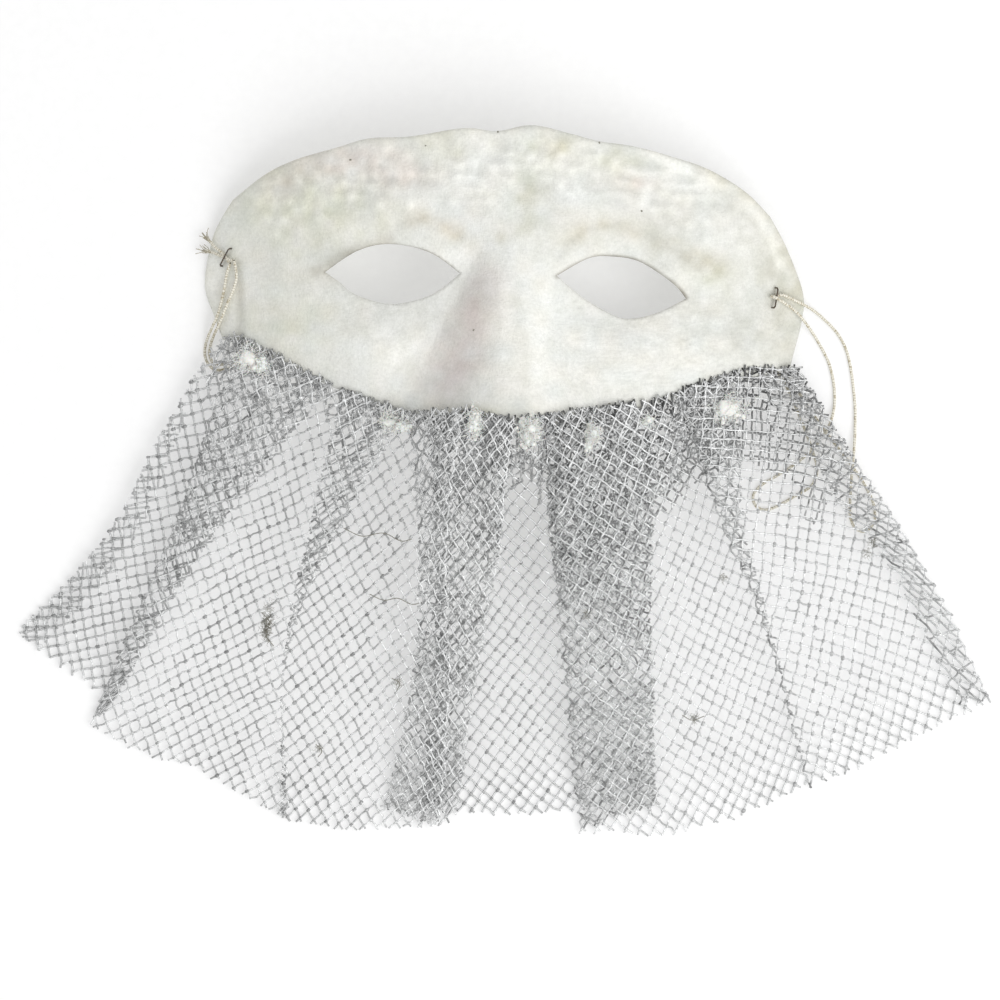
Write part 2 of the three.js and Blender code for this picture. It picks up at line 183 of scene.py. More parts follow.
def braid(line, diameter, up=(0, 0, 1)):
    """A tube whose yarns cross in a braid, and how far each vertex stands out, from 0 to 1."""
    line = even_line(line, BRAID_STEP)
    along = np.arange(len(line))[:, None] * BRAID_STEP * 2 * math.pi / BRAID_REPEAT
    around = YARNS * np.arange(BRAID_SIDES)[None] * 2 * math.pi / BRAID_SIDES
    height = 0.5 + 0.5 * np.cos(along + around) * np.cos(along - around)
    radius = diameter / 2 * (1 - YARN_RELIEF + YARN_RELIEF * height)
    vertices, faces = tube(line, radius, BRAID_SIDES, up)
    return vertices, faces, height.ravel(), line


print("a braid repeats every %.1f mm" % BRAID_REPEAT)

# %% [markdown]
# ## The elastic's two strands
# One thin braided elastic is doubled, so two strands run side by side: from the left staple over
# the temple's rim, under the felt to the right, and up to the right staple, with the slack in loops
# under the veil's end. The route's points are few and given in metres, and a Catmull-Rom curve
# through them keeps every bend soft. The centripetal kind is used, because it makes no small loops
# where the points lie close together. The braid is then laid along the curve.

# %% Strands of the elastic
ELASTIC = 0.0009  # metres
STRAND_ROUTES = {
    "elastic_strand_1": [
        (-0.0782, 0.0618, 0.0087), (-0.0791, 0.0589, 0.0077), (-0.0799, 0.0543, 0.0069),
        (-0.0808, 0.0503, 0.0062), (-0.0818, 0.0469, 0.0054), (-0.0831, 0.0440, 0.0043),
        (-0.0843, 0.0413, 0.0022), (-0.0852, 0.0386, 0.0006), (-0.0854, 0.0361, 0.0005),
        (-0.0846, 0.0335, 0.0005), (-0.0825, 0.0316, 0.0005), (-0.0785, 0.0319, 0.0005),
        (-0.0725, 0.0343, 0.0005), (-0.0400, 0.0361, 0.0005), (0.0001, 0.0362, 0.0005),
        (0.0400, 0.0364, 0.0005), (0.0671, 0.0365, 0.0005), (0.0745, 0.0341, 0.0005),
        (0.0791, 0.0289, 0.0005), (0.0825, 0.0221, 0.0005), (0.0879, 0.0081, 0.0005),
        (0.0891, 0.0030, 0.0005), (0.0876, -0.0013, 0.0005), (0.0834, -0.0041, 0.0005),
        (0.0745, -0.0084, 0.0005), (0.0717, -0.0073, 0.0005), (0.0708, -0.0047, 0.0005),
        (0.0725, -0.0019, 0.0005), (0.0765, 0.0007, 0.0005), (0.0808, 0.0033, 0.0008),
        (0.0854, 0.0067, 0.0017), (0.0893, 0.0107, 0.0017), (0.0922, 0.0150, 0.0017),
        (0.0939, 0.0207, 0.0008), (0.0939, 0.0266, 0.0005), (0.0926, 0.0329, 0.0005),
        (0.0902, 0.0380, 0.0005), (0.0876, 0.0423, 0.0014), (0.0831, 0.0480, 0.0056),
        (0.0789, 0.0511, 0.0083),
    ],
    "elastic_strand_2": [
        (-0.0770, 0.0624, 0.0093), (-0.0765, 0.0600, 0.0096), (-0.0764, 0.0573, 0.0095),
        (-0.0774, 0.0540, 0.0089), (-0.0787, 0.0510, 0.0079), (-0.0808, 0.0457, 0.0062),
        (-0.0819, 0.0433, 0.0048), (-0.0831, 0.0406, 0.0025), (-0.0839, 0.0380, 0.0007),
        (-0.0841, 0.0359, 0.0005), (-0.0833, 0.0339, 0.0005), (-0.0814, 0.0331, 0.0005),
        (-0.0780, 0.0335, 0.0005), (-0.0725, 0.0357, 0.0005), (-0.0400, 0.0374, 0.0005),
        (0.0001, 0.0375, 0.0005), (0.0400, 0.0377, 0.0005), (0.0671, 0.0378, 0.0005),
        (0.0754, 0.0353, 0.0005), (0.0805, 0.0298, 0.0005), (0.0905, 0.0152, 0.0005),
        (0.0993, 0.0038, 0.0005), (0.1030, -0.0019, 0.0005), (0.1053, -0.0073, 0.0005),
        (0.1053, -0.0118, 0.0005), (0.1030, -0.0144, 0.0005), (0.1002, -0.0138, 0.0005),
        (0.0986, -0.0107, 0.0005), (0.0985, -0.0056, 0.0008), (0.0989, 0.0007, 0.0017),
        (0.0995, 0.0073, 0.0017), (0.0999, 0.0150, 0.0008), (0.0998, 0.0224, 0.0005),
        (0.0979, 0.0355, 0.0005), (0.0959, 0.0403, 0.0005), (0.0933, 0.0437, 0.0007),
        (0.0882, 0.0483, 0.0017), (0.0859, 0.0497, 0.0032), (0.0815, 0.0519, 0.0066),
        (0.0789, 0.0530, 0.0083),
    ],
}


def soft_route(points, per_span=8):
    """A centripetal Catmull-Rom curve through the points, as a list of vectors."""
    knots = [Vector(p) for p in points]
    knots = [2 * knots[0] - knots[1], *knots, 2 * knots[-1] - knots[-2]]
    route = []
    for a, b, c, d in zip(knots, knots[1:], knots[2:], knots[3:]):
        t1, t2, t3 = np.cumsum([math.sqrt((q - p).length) for p, q in ((a, b), (b, c), (c, d))])
        for t in np.linspace(t1, t2, per_span, endpoint=False):
            ab = a.lerp(b, t / t1)
            bc = b.lerp(c, (t - t1) / (t2 - t1))
            cd = c.lerp(d, (t - t2) / (t3 - t2))
            abc = ab.lerp(bc, t / t2)
            route.append(abc.lerp(bc.lerp(cd, (t - t1) / (t3 - t1)), (t - t1) / (t2 - t1)))
    return [*route, knots[-2].copy()]


def route_length(route):
    return sum((b - a).length for a, b in zip(route, route[1:]))


strands = {}
for name, points in STRAND_ROUTES.items():
    route = soft_route(points)
    vertices, faces, height, centres = braid(np.array(route) / MM, ELASTIC / MM)
    strands[name] = piece_of(name + "_braid", vertices, faces, "elastic", name, yarn=height)
    strands[name]["centres"] = centres.ravel() * MM
    print("%s is %.0f mm long" % (name, route_length(route) / MM))

# %% [markdown]
# ## The face's form
# The felt was pressed over a mould, so its surface is one smooth height over the plan: an arch from
# temple to temple, rolled off at the forehead and the cheeks, with brows, eye sockets, cheeks and a
# nose added to it. It could be sculpted, but a formula with named sizes is easier to put right, and
# the solid is built from the same sizes. Here it is worked on whole arrays of places at once.

# %% Form of the face
FACE_CENTRE = np.array([0.4, 56.0])  # the point between the eyes, in the part's frame
FACE_TILT = math.radians(-2.2)  # the mask lies turned a little clockwise
HALF_WIDTH = 86.2  # from the middle of the face to the temples' rims
ARCH_DEPTH = 32  # how far the brow stands above the rims
ARCH_RADIUS = (HALF_WIDTH**2 + ARCH_DEPTH**2) / (2 * ARCH_DEPTH)
RIM_LIFT = 1.16  # keeps the inner edge of the temples on the table
FELT = 1.4  # thickness of the moulded felt
LEVEL_LINE = 8  # height on the face of the line that stands highest
FOREHEAD_ROLL = 0.0031  # fall above that line, per mm squared
CHEEK_ROLL = 0.0018  # fall below it
EYE_X = 33  # half the distance between the eyes
SOCKET_DEPTH = 5
SOCKET = (-0.5, 21, 12)  # how high its middle is on the face, and its reach across and along
BROW = {"y": 21, "bend": 0.013, "peak": 27, "rise": 1.1, "spread": 6, "reach": 22}
CHEEK_X = 42
CHEEK_RISE = 1.5
CHEEK = (-19, 16, 11)  # as for the socket
NOSE = {"root": 14, "length": 54, "height": 20, "ridge_x": -2, "drift": 6}
NOSE_LEFT = {"root": 4, "flare": 30}  # the flank's width at the root, and what it gains below
NOSE_RIGHT = {"root": 3.5, "flare": 26}


def hump(x, y, cx, cy, rx, ry):
    return np.exp(-(((x - cx) / rx) ** 2) - ((y - cy) / ry) ** 2)


def nose_height(x, y):
    down = np.clip((NOSE["root"] - y) / NOSE["length"], 0, 1.15)
    aside = x - (NOSE["ridge_x"] + NOSE["drift"] * down)
    left, right = (flank["root"] + flank["flare"] * down for flank in (NOSE_LEFT, NOSE_RIGHT))
    width = np.where(aside < 0, left, right)
    return NOSE["height"] * down**1.2 * clipped(1 - (aside / width) ** 2) ** 1.5


def front_height(x, y):
    """Height of the felt's front over the table at a place on the face."""
    across = np.minimum(np.abs(x), HALF_WIDTH + 3)
    roll = np.where(y > LEVEL_LINE, FOREHEAD_ROLL, CHEEK_ROLL)
    height = np.sqrt(ARCH_RADIUS**2 - across**2) - (ARCH_RADIUS - ARCH_DEPTH)
    height = height + RIM_LIFT - roll * (y - LEVEL_LINE) ** 2 + nose_height(x, y)
    brow_line = BROW["y"] - BROW["bend"] * (np.abs(x) - BROW["peak"]) ** 2
    over_brow = np.exp(-(((y - brow_line) / BROW["spread"]) ** 2))
    for side in (-1, 1):
        height = height - SOCKET_DEPTH * hump(x, y, side * EYE_X, *SOCKET)
        height = height + BROW["rise"] * over_brow * np.exp(-(((x - side * EYE_X) / BROW["reach"]) ** 2))
        height = height + CHEEK_RISE * hump(x, y, side * CHEEK_X, *CHEEK)
    return height


def turned(places, angle):
    c, s = math.cos(angle), math.sin(angle)
    return places @ np.array([[c, s], [-s, c]])


def to_part(places):
    return turned(np.asarray(places, float), FACE_TILT) + FACE_CENTRE


def to_face(places):
    return turned(np.asarray(places, float) - FACE_CENTRE, -FACE_TILT)


print("nose tip at %.1f mm" % front_height(np.array(4.8), np.array(-38.0)))

# %% [markdown]
# ## Outlines of the felt
# The rim and the two eye holes are smooth lines through a few measured points. A Catmull-Rom curve
# again does that, here the uniform kind, which works on whole arrays. The curves are then cut into
# short even steps, ready to be triangulated.

# %% Outlines
RIM = {
    "lower": [(-80.3, -19), (-72.1, -21.0), (-66.3, -23.3), (-51.7, -30.0), (-38.7, -34.7),
              (-26.3, -37.8), (-8.6, -38.2), (3.4, -39.2), (14.2, -39.3), (25.6, -38.9),
              (32.6, -36.3), (46.1, -32.3), (60, -28.4), (70.7, -24.8), (82.2, -20.6)],
    "right": [(82.2, -20.6), (83.0, -16.8), (85, -7.3), (85, 0.7), (79.9, 13.1), (74.7, 22)],
    "upper": [(74.7, 22), (67.3, 28.8), (56.6, 34.7), (45.6, 38), (35, 40.4), (24.9, 41.5),
              (17.2, 43.2), (5.7, 45.3), (-4.2, 43.2), (-13.7, 43.7), (-28.7, 40.8), (-40.6, 39.8),
              (-49.6, 36.9), (-61.4, 33), (-70.1, 28.4), (-79, 20.9)],
    "left": [(-79, 20.9), (-84, 11), (-86.1, -3), (-83.1, -12.3), (-80.3, -19)],
}
EYES = {
    "left": {
        "upper": [(-51.7, 1.2), (-42.5, 7.5), (-33.2, 9.7), (-22, 7.7), (-13.3, 2.2)],
        "lower": [(-13.3, 2.2), (-21.5, -4.1), (-32.5, -6.9), (-42.6, -4.7), (-47.3, -1.5),
                  (-51.7, 1.2)],
    },
    "right": {
        "upper": [(14.5, 2.6), (23.1, 7.7), (29.5, 8.6), (37.9, 7.4), (47.6, 1.7), (51.5, -2.3)],
        "lower": [(51.5, -2.3), (42.7, -6.8), (34.3, -8.5), (27.5, -6.1), (21.2, -2.5),
                  (14.5, 2.6)],
    },
}
STAPLES = {"left": ((-78.4, 7.0), (-80.8, 2.0)), "right": ((76.7, 1.8), (76.0, -3.9))}
OUTLINE_STEP = 0.6


def spline_at(points, t):
    """Uniform Catmull-Rom through the points, with t from 0 to 1 over the whole curve."""
    p = np.asarray(points, float)
    p = np.vstack([p[:1], p, p[-1:]])
    place = np.clip(np.asarray(t, float), 0, 1) * (len(p) - 3)
    i = np.minimum(place.astype(int), len(p) - 4)
    w = (place - i)[..., None]
    p0, p1, p2, p3 = p[i], p[i + 1], p[i + 2], p[i + 3]
    v0, v1 = (p2 - p0) / 2, (p3 - p1) / 2
    return ((2 * p1 - 2 * p2 + v0 + v1) * w**3 + (-3 * p1 + 3 * p2 - 2 * v0 - v1) * w**2
            + v0 * w + p1)


def even_steps(points, step):
    """The curve through the points, cut into even steps, without its last point."""
    return even_line(spline_at(points, np.linspace(0, 1, 400)), step)[:-1]


rim_line = np.vstack([even_steps(part, OUTLINE_STEP) for part in RIM.values()])
eye_lines = {side: np.vstack([even_steps(lid, OUTLINE_STEP) for lid in lids.values()])
             for side, lids in EYES.items()}
print("rim %d steps, eyes %s" % (len(rim_line), [len(line) for line in eye_lines.values()]))

# %% [markdown]
# ## Noise and creases
# Pressed felt is never even. Random relief comes from a seeded grid of values that is blended
# smoothly between its points, so it is the same at each run. A line that is pressed into the felt,
# such as a crease, needs to know how far each place is from it, and a search tree answers that for
# thousands of places. A material could displace the felt with noise textures too, but an export
# drops that.

# %% Noise and creases
def soft_noise(x, y, size, seed):
    """Smooth random values between -1 and 1 with features of the given size."""
    table = np.random.default_rng(seed).uniform(-1, 1, (64, 64))
    u, v = np.asarray(x) / size + 1000, np.asarray(y) / size + 1000
    i, j = np.floor(u).astype(int), np.floor(v).astype(int)
    s, t = u - i, v - j
    s, t = s * s * (3 - 2 * s), t * t * (3 - 2 * t)
    at = lambda a, b: table[(i + a) % 64, (j + b) % 64]
    return ((at(0, 0) * (1 - s) + at(1, 0) * s) * (1 - t)
            + (at(0, 1) * (1 - s) + at(1, 1) * s) * t)


def gaps_to(points, x, y):
    """How far each place lies from the nearest one of some points."""
    tree = KDTree(len(points))
    for n, point in enumerate(points):
        tree.insert((*point, 0), n)
    tree.balance()
    return np.array([tree.find((a, b, 0))[2] for a, b in zip(x, y)])


def crease(x, y, points, width):
    """How close each place lies to a line of points: 1 on it and 0 away from it."""
    return np.exp(-((gaps_to(even_steps(points, 0.5), x, y) / width) ** 2))


print("the rim comes within %.0f mm of the face's middle" % gaps_to(rim_line, [0], [0])[0])

# %% [markdown]
# ## Relief of the felt
# The front isn't smooth: rows of small bumps from the mould run along the forehead with wrinkles
# between them, the felt is lumpy, a crease crosses the left temple, a fold lies under each brow, and
# the outer corner of the left eye is pressed in. A bump in the finish could fake relief on this
# scale, but moved vertices catch the light in every view and stay with the mesh. The rows of bumps
# come from places set at even steps inside the rim, shaken a little and with some left out, as a
# worn mould leaves them.

# %% Relief
BUMP_SPACING = 4.8
BUMP_ROWS = [(5.0, 0.7), (9.8, 0.95), (14.0, 0.8), (19.0, 0.4)]  # depth inside the rim, share kept
BUMP_HEIGHT = 0.75
BUMP_REACH = 1.6
FOREHEAD = 18  # where the wrinkles of the forehead begin
WRINKLE = 0.42
LUMPS = [(0.2, 11, 11), (0.15, 4.5, 12), (0.055, 1.7, 13)]  # height, size across and seed
FOLDS = [  # points on the face and depth
    ([(-76.8, 3), (-75.6, -8), (-75.2, -20)], 0.55),
    ([(-31, 15.5), (-28, 16.9), (-20.6, 17.7), (-13, 12.3)], 0.4),
    ([(15, 8.5), (17.2, 12.4), (23.9, 16.9), (33.8, 17.3), (45.2, 12.3), (55.1, 6.4)], 0.4),
]
FOLD_WIDTH = 1.3
EYE_CORNER = (-48.5, 3, 6, 5)  # middle and reach of the pressed place
EYE_CORNER_DEPTH = 1.5


def bump_places():
    """Rows of small bumps along the forehead, each row further inside the rim."""
    random = np.random.default_rng(7)
    upper = even_steps(RIM["upper"], BUMP_SPACING)
    along = np.gradient(upper, axis=0)
    inward = np.column_stack([along[:, 1], -along[:, 0]])
    inward /= np.linalg.norm(inward, axis=1)[:, None]
    inward *= np.where((inward[:, 1] < 0)[:, None], 1, -1)
    rows = []
    for n, (depth, kept) in enumerate(BUMP_ROWS):
        row = upper + inward * depth + random.normal(0, 1.0, upper.shape)
        keep = random.random(len(row)) < kept
        rows.append(np.roll(row, n % 2, axis=0)[np.roll(keep, n)])
    return np.vstack(rows)


bumps = bump_places()


def felt_relief(x, y):
    """Small heights that are added to the front."""
    strength = 0.65 + 0.45 * soft_noise(x, y, 7, 3)
    height = BUMP_HEIGHT * strength * np.exp(-((gaps_to(bumps, x, y) / BUMP_REACH) ** 2))
    wrinkles = 1 - 2 * np.abs(soft_noise(x * 0.8 + y * 0.5, y * 1.3, 4.6, 14))
    height += WRINKLE * clipped((y - FOREHEAD) / 8) * wrinkles
    for rise, size, seed in LUMPS:
        height += rise * soft_noise(x, y, size, seed)
    for points, depth in FOLDS:
        height -= depth * crease(x, y, points, FOLD_WIDTH)
    return height - EYE_CORNER_DEPTH * hump(x, y, *EYE_CORNER)


print("%d bumps on the forehead" % len(bumps))

# %% [markdown]
# ## Plan of the felt
# A closed sheet with holes is awkward to cut out of a grid of squares, and a boolean cut leaves long
# thin faces round the holes. So the plan is triangulated instead: points spread evenly over the
# face, with the rim and the eye holes as lines that the triangles must follow.

# %% Plan of the felt
GRID = 0.66
ROW_SHARE = 0.866  # rows of a hexagonal grid lie closer than its points
GRID_SHAKE = 0.12
EDGE_CLEARANCE = 0.35


def inside(places, line):
    """Which places lie inside a closed line, by counting crossings."""
    x, y = places[:, 0], places[:, 1]
    odd = np.zeros(len(places), bool)
    for (x1, y1), (x2, y2) in zip(line, np.roll(line, -1, axis=0)):
        if y1 == y2:
            continue
        crosses = (y1 > y) != (y2 > y)
        odd ^= crosses & (x < (x2 - x1) * (y - y1) / (y2 - y1) + x1)
    return odd


def in_felt(places):
    """Which places lie on the felt: inside the rim, and not in an eye hole."""
    in_eyes = [inside(places, line) for line in eye_lines.values()]
    return inside(places, rim_line) & ~np.any(in_eyes, axis=0)


def edge_gaps(places):
    """Distance of each place from the nearest cut edge."""
    return gaps_to(np.vstack([rim_line, *eye_lines.values()]), *places.T)


def spread_points():
    """Points over the face on a slightly shaken hexagonal grid, clear of the edges."""
    across, rows = np.arange(-90, 90, GRID), np.arange(-46, 48, GRID * ROW_SHARE)
    places = np.vstack([np.column_stack([across + (n % 2) * GRID / 2, np.full(len(across), y)])
                        for n, y in enumerate(rows)])
    places += np.random.default_rng(2).uniform(-GRID_SHAKE, GRID_SHAKE, places.shape)
    places = places[in_felt(places)]
    return places[edge_gaps(places) > EDGE_CLEARANCE]


def triangulated():
    """The plan of the felt as points and triangles that follow the rim and the eye holes."""
    points, edges = [], []
    for line in [rim_line, *eye_lines.values()]:
        start = len(points)
        points += [Vector(p) for p in line]
        edges += [(start + n, start + (n + 1) % len(line)) for n in range(len(line))]
    points += [Vector(p) for p in spread_points()]
    made = geometry.delaunay_2d_cdt(points, edges, [], 0, 1e-4)
    places = np.array([tuple(p) for p in made[0]])
    triangles = np.array([f for f in made[2] if len(f) == 3])
    return places, triangles[in_felt(places[triangles].mean(axis=1))]


def facing_up(places, triangles):
    a, b, c = (places[triangles[:, k]] for k in range(3))
    up = (b[:, 0] - a[:, 0]) * (c[:, 1] - a[:, 1]) - (b[:, 1] - a[:, 1]) * (c[:, 0] - a[:, 0]) > 0
    return np.where(up[:, None], triangles, triangles[:, ::-1])


felt_places, felt_triangles = triangulated()
felt_triangles = facing_up(felt_places, felt_triangles)
print("plan of %d points" % len(felt_places))

# %% [markdown]
# ## The felt shell
# Each point of the plan gets a front vertex and a back vertex, one felt's thickness apart and square
# to the surface, and walls close the sheet along every line. A solidify modifier would do the same,
# but here the front and back can draw together near an edge, which rounds the cut felt.

# %% Felt shell
EDGE_ROUND = 0.7
SLOPE_STEP = 0.4


def front_normals(x, y):
    """The way that the felt's front faces, from its slopes."""
    step = SLOPE_STEP
    slope_x = (front_height(x + step, y) - front_height(x - step, y)) / (2 * step)
    slope_y = (front_height(x, y + step) - front_height(x, y - step)) / (2 * step)
    return unit(np.column_stack([-slope_x, -slope_y, np.ones(len(x))]))


def shell_walls(triangles, count):
    """Walls between front and back, along the edges that only one triangle has."""
    edges = np.vstack([triangles[:, [0, 1]], triangles[:, [1, 2]], triangles[:, [2, 0]]])
    known = set(map(tuple, edges))
    a, b = np.array([(a, b) for a, b in known if (b, a) not in known]).T
    return np.vstack([np.column_stack([a, a + count, b]), np.column_stack([b, a + count, b + count])])


def felt_shell(places, triangles):
    x, y = places.T
    normals = front_normals(x, y)
    gap = clipped(edge_gaps(places) / EDGE_ROUND)
    draw = EDGE_ROUND * 0.75 * (1 - np.sqrt(1 - (1 - gap) ** 2))
    front = np.column_stack([x, y, front_height(x, y) + felt_relief(x, y)])
    back = front - normals * (FELT - draw)[:, None]
    vertices = np.vstack([front - normals * draw[:, None], back])
    vertices[:, :2] = to_part(vertices[:, :2])
    count = len(places)
    faces = np.vstack([triangles, triangles[:, ::-1] + count, shell_walls(triangles, count)])
    return piece_of("felt_shell", vertices, faces, "felt", "mask_shell")


felt = felt_shell(felt_places, felt_triangles)
print("felt shell: %d triangles" % len(felt.data.polygons))

# %% [markdown]
# ## Folds of the net
# A strip of knotted silver net was gathered along the felt's lower edge and hangs in flat pleats.
# A cloth simulation could drape it, but not into the very folds that this one has. On the table it
# lies almost flat, so its folds can be drawn in plan instead, as ribs: lines that run from the glued
# edge down to the hem, each through four points read off the picture.

# %% Ribs
RIBS = {
    "end_left": [(-83.5, 38), (-100, 9.5), (-114, -16), (-138.5, -43)],
    "left_turn": [(-82.4, 39), (-95.6, 5.4), (-108.6, -22), (-132, -48)],
    "left_mid": [(-82, 39.5), (-95, 4.5), (-110, -25), (-131, -49.5)],
    "left_hem": [(-80, 41), (-89.5, 2), (-103, -30.5), (-116.5, -59)],
    "fold_a": [(-77, 42.5), (-89, 2), (-102, -31), (-118.5, -69.5)],
    "back_a": [(-49.5, 27.5), (-75.5, -5.5), (-95, -35), (-112, -73.5)],
    "under_a": [(-49.5, 27.5), (-75.5, -5.5), (-95, -35), (-112, -64.3)],
    "mid_ab": [(-48, 26.5), (-63, -10), (-76.5, -48.5), (-88, -81.5)],
    "back_b": [(-46.5, 26), (-55, -11.5), (-63, -51), (-64, -95.5)],
    "fold_b": [(-27.5, 19.5), (-45.5, -11.5), (-62, -51), (-61.5, -95.5)],
    "mid_bc": [(-27, 19.5), (-34.5, -22.5), (-44, -59.5), (-47, -99.5)],
    "fold_c": [(-11, 20.5), (-16, -18.5), (-15.5, -59.5), (-18.5, -98)],
    "back_c": [(-27, 19), (-24.5, -22.5), (-27, -59.5), (-34.5, -92.8)],
    "second_c": [(2.5, 17.5), (-1.5, -21.5), (-8.5, -59.5), (-13.5, -94.5)],
    "under_c": [(-21.2, 17.2), (-19.5, -21.5), (-20.7, -59.7), (-24.7, -93.3)],
    "mid_d": [(7.5, 17.5), (6, -20), (4.5, -57), (3, -95)],
    "under_e": [(45.2, 23), (42, -18.4), (42.6, -59.7), (43.5, -91.9)],
    "fold_e": [(10.5, 18), (13.5, -21.5), (17, -57), (21, -100)],
    "back_e": [(45, 23.5), (42, -18.5), (42.5, -59.5), (45.5, -100.5)],
    "mid_eg": [(47.5, 24.5), (53, -20), (60, -59.5), (65.5, -95.5)],
    "fold_g": [(49.5, 25), (62, -13.5), (75, -45.5), (86, -87)],
    "back_g": [(67.5, 31), (68.5, -12.5), (77, -45.5), (86.5, -86.5)],
    "mid_gi": [(70, 31.5), (84, -5.5), (95, -40), (102, -81.5)],
    "fold_i": [(75.5, 32.5), (97, -5.5), (108.5, -42.5), (117.5, -72)],
    "flap_edge": [(78.5, 32.5), (93, -2.5), (111.5, -28.5), (128.5, -63.5)],
    "end_right": [(83.5, 32.5), (104.5, 0), (123.5, -31), (138.5, -62.5)],
}
print("%d ribs" % len(RIBS))

# %% [markdown]
# ## Ways of the threads
# Both sets of threads run across a pleat in nearly straight lines, but they turn and spread from one
# side of the veil to the other. Their ways and pitches were read at about forty places. For each
# stretch of net a least squares fit turns its readings into two smooth formulas, which count the
# threads from any place on it. Threads then lie where a count is a whole number, and both sets meet
# evenly everywhere, which lines drawn one by one wouldn't do.

# %% Ways of the threads
THREAD_WAYS = {  # pixel of the picture, the ways of both sets of threads, and their pitches in pixels
    "left": [((60, 630), (13, -81), (10, 10)), ((130, 560), (13, -81), (10, 10)),
             ((190, 480), (16, -80), (10.1, 10.3)), ((200, 420), (15, -78), (10.7, 10.7))],
    "a_b": [((200, 640), (28, -71), (9.6, 10.7)), ((260, 690), (29, -70), (9.6, 10.7)),
            ((190, 590), (24, -75), (10.6, 10.3)), ((220, 540), (23, -77), (10.9, 10.4)),
            ((280, 430), (17, -80), (11.1, 11.2)), ((320, 480), (27, -71), (9.7, 11.1)),
            ((350, 520), (31, -72), (10.3, 10.2))],
    "b_c": [((330, 600), (39, -60), (10.4, 10.6)), ((320, 760), (40, -60), (10.4, 10.6)),
            ((380, 470), (37, -68), (10.2, 10.6)), ((400, 660), (45, -62), (9.0, 9.7)),
            ((400, 760), (43, -64), (9.4, 10.1))],
    "c": [((440, 500), (50, -62), (8.9, 9.0)), ((440, 700), (47, -60), (9.0, 9.5)),
          ((465, 770), (52, -58), (9.2, 9.0))],
    "c_e": [((510, 650), (54, -41), (10.4, 10.4)), ((540, 500), (52, -43), (10.4, 9.6)),
            ((540, 780), (55, -41), (10.4, 10.4))],
    "e_g": [((600, 480), (50, -44), (10.5, 10.8)), ((620, 620), (58, -39), (10.5, 10.4)),
            ((630, 790), (59, -38), (10.8, 10.2)), ((700, 600), (71, -33), (9.7, 10.2)),
            ((730, 760), (72, -33), (9.7, 10.2)), ((690, 450), (79, -15), (10.9, 10.8)),
            ((720, 520), (79, -19), (10.1, 10.4))],
    "g_end": [((760, 400), (86, -4), (10.4, 10.2)), ((850, 490), (84, 0), (10.8, 10.9)),
              ((770, 580), (81, -13), (11.2, 10.7)), ((835, 605), (83, -12), (10.8, 10.9)),
              ((870, 700), (81, -15), (10.8, 10.9)), ((810, 720), (74, -28), (10.4, 9.6)),
              ((890, 570), (76, -21), (10.8, 10.3)), ((930, 660), (73, -24), (11.2, 10.2))],
}
SPAN = 50.0  # places are counted in spans of this many millimetres in the formulas
CALM = 0.3  # holds the bend of the formulas back where there are few readings


def fitted_counts(readings):
    """Two sets of weights that give the counts of threads, from the threads' ways at a few places."""
    rows, sought = [], [[], []]
    for pixel, ways, pitches in readings:
        x, y = np.array(at_pixel(*pixel)) / SPAN
        rows += [(1, 0, x, y, 0), (0, 1, 0, x, y)]
        for side in (0, 1):
            across = math.radians(ways[1 - side] + 90)
            steps = SPAN / (pitches[1 - side] * MM_PER_PIXEL)
            sought[side] += [math.cos(across) * steps, math.sin(across) * steps]
    rows = np.vstack([rows, np.diag([0, 0, CALM, CALM, CALM])])
    return [np.linalg.lstsq(rows, np.append(values, np.zeros(5)), rcond=None)[0] for values in sought]


mesh_weights = {name: fitted_counts(readings) for name, readings in THREAD_WAYS.items()}


def mesh_place(name, places):
    """Where places lie on the net, counted in threads each way."""
    x, y = np.asarray(places).T / SPAN
    terms = np.column_stack([x, y, x * x / 2, x * y, y * y / 2])
    return terms @ np.column_stack(mesh_weights[name])


print("ways of the threads fitted for", ", ".join(mesh_weights))

# %% [markdown]
# ## Panels of net
# A pleat is three strips that lie on each other: one that shows, one turned back under it, and the
# next one. So each stretch of net is a row of strips between ribs, and each rib has a height in
# layers. A strip that is turned back is mirrored in its fold before its threads are counted, as the
# same threads run on through the fold. A strip becomes a grid of places. Each place also keeps its
# layer, its counts of threads, its share of the way down, and whether it is turned under.

# %% Panels
PANELS = {  # the threads' ways, and each rib with its height in layers and the fold it is turned at
    "left_end": ("left", [("end_left", 0), ("left_mid", 0), ("left_hem", 0), ("under_a", 0)]),
    "a_to_b": ("a_b", [("under_a", 0.6, "fold_a"), ("fold_a", 1.8), ("back_a", 2), ("mid_ab", 0.5),
                       ("back_b", 2), ("fold_b", 2), ("back_b", 0.8, "fold_b")]),
    "b_to_c": ("b_c", [("back_b", 0), ("mid_bc", 1), ("fold_c", 4), ("back_c", 2.4, "fold_c")]),
    "c_middle": ("c", [("back_c", 1.6), ("fold_c", 2), ("second_c", 2), ("under_c", 0.8, "second_c")]),
    "c_to_e": ("c_e", [("under_c", 0), ("mid_d", 0), ("under_e", 0)]),
    "e_to_g": ("e_g", [("under_e", 0.8, "fold_e"), ("fold_e", 2), ("back_e", 1.6), ("mid_eg", 0.3),
                       ("back_g", 0)]),
    "g_to_end": ("g_end", [("back_g", 0.8, "fold_g"), ("fold_g", 2), ("mid_gi", 0.6), ("fold_i", 0.4),
                           ("end_right", 0.6), ("flap_edge", 1.4, "end_right")]),
}
ACROSS = 5  # steps of a grid from rib to rib
DOWN = 44  # and from the glued edge to the hem
LAYER_COLUMN, DOWN_COLUMN, TURNED_COLUMN = 2, 5, 6
COUNTS = slice(3, 5)


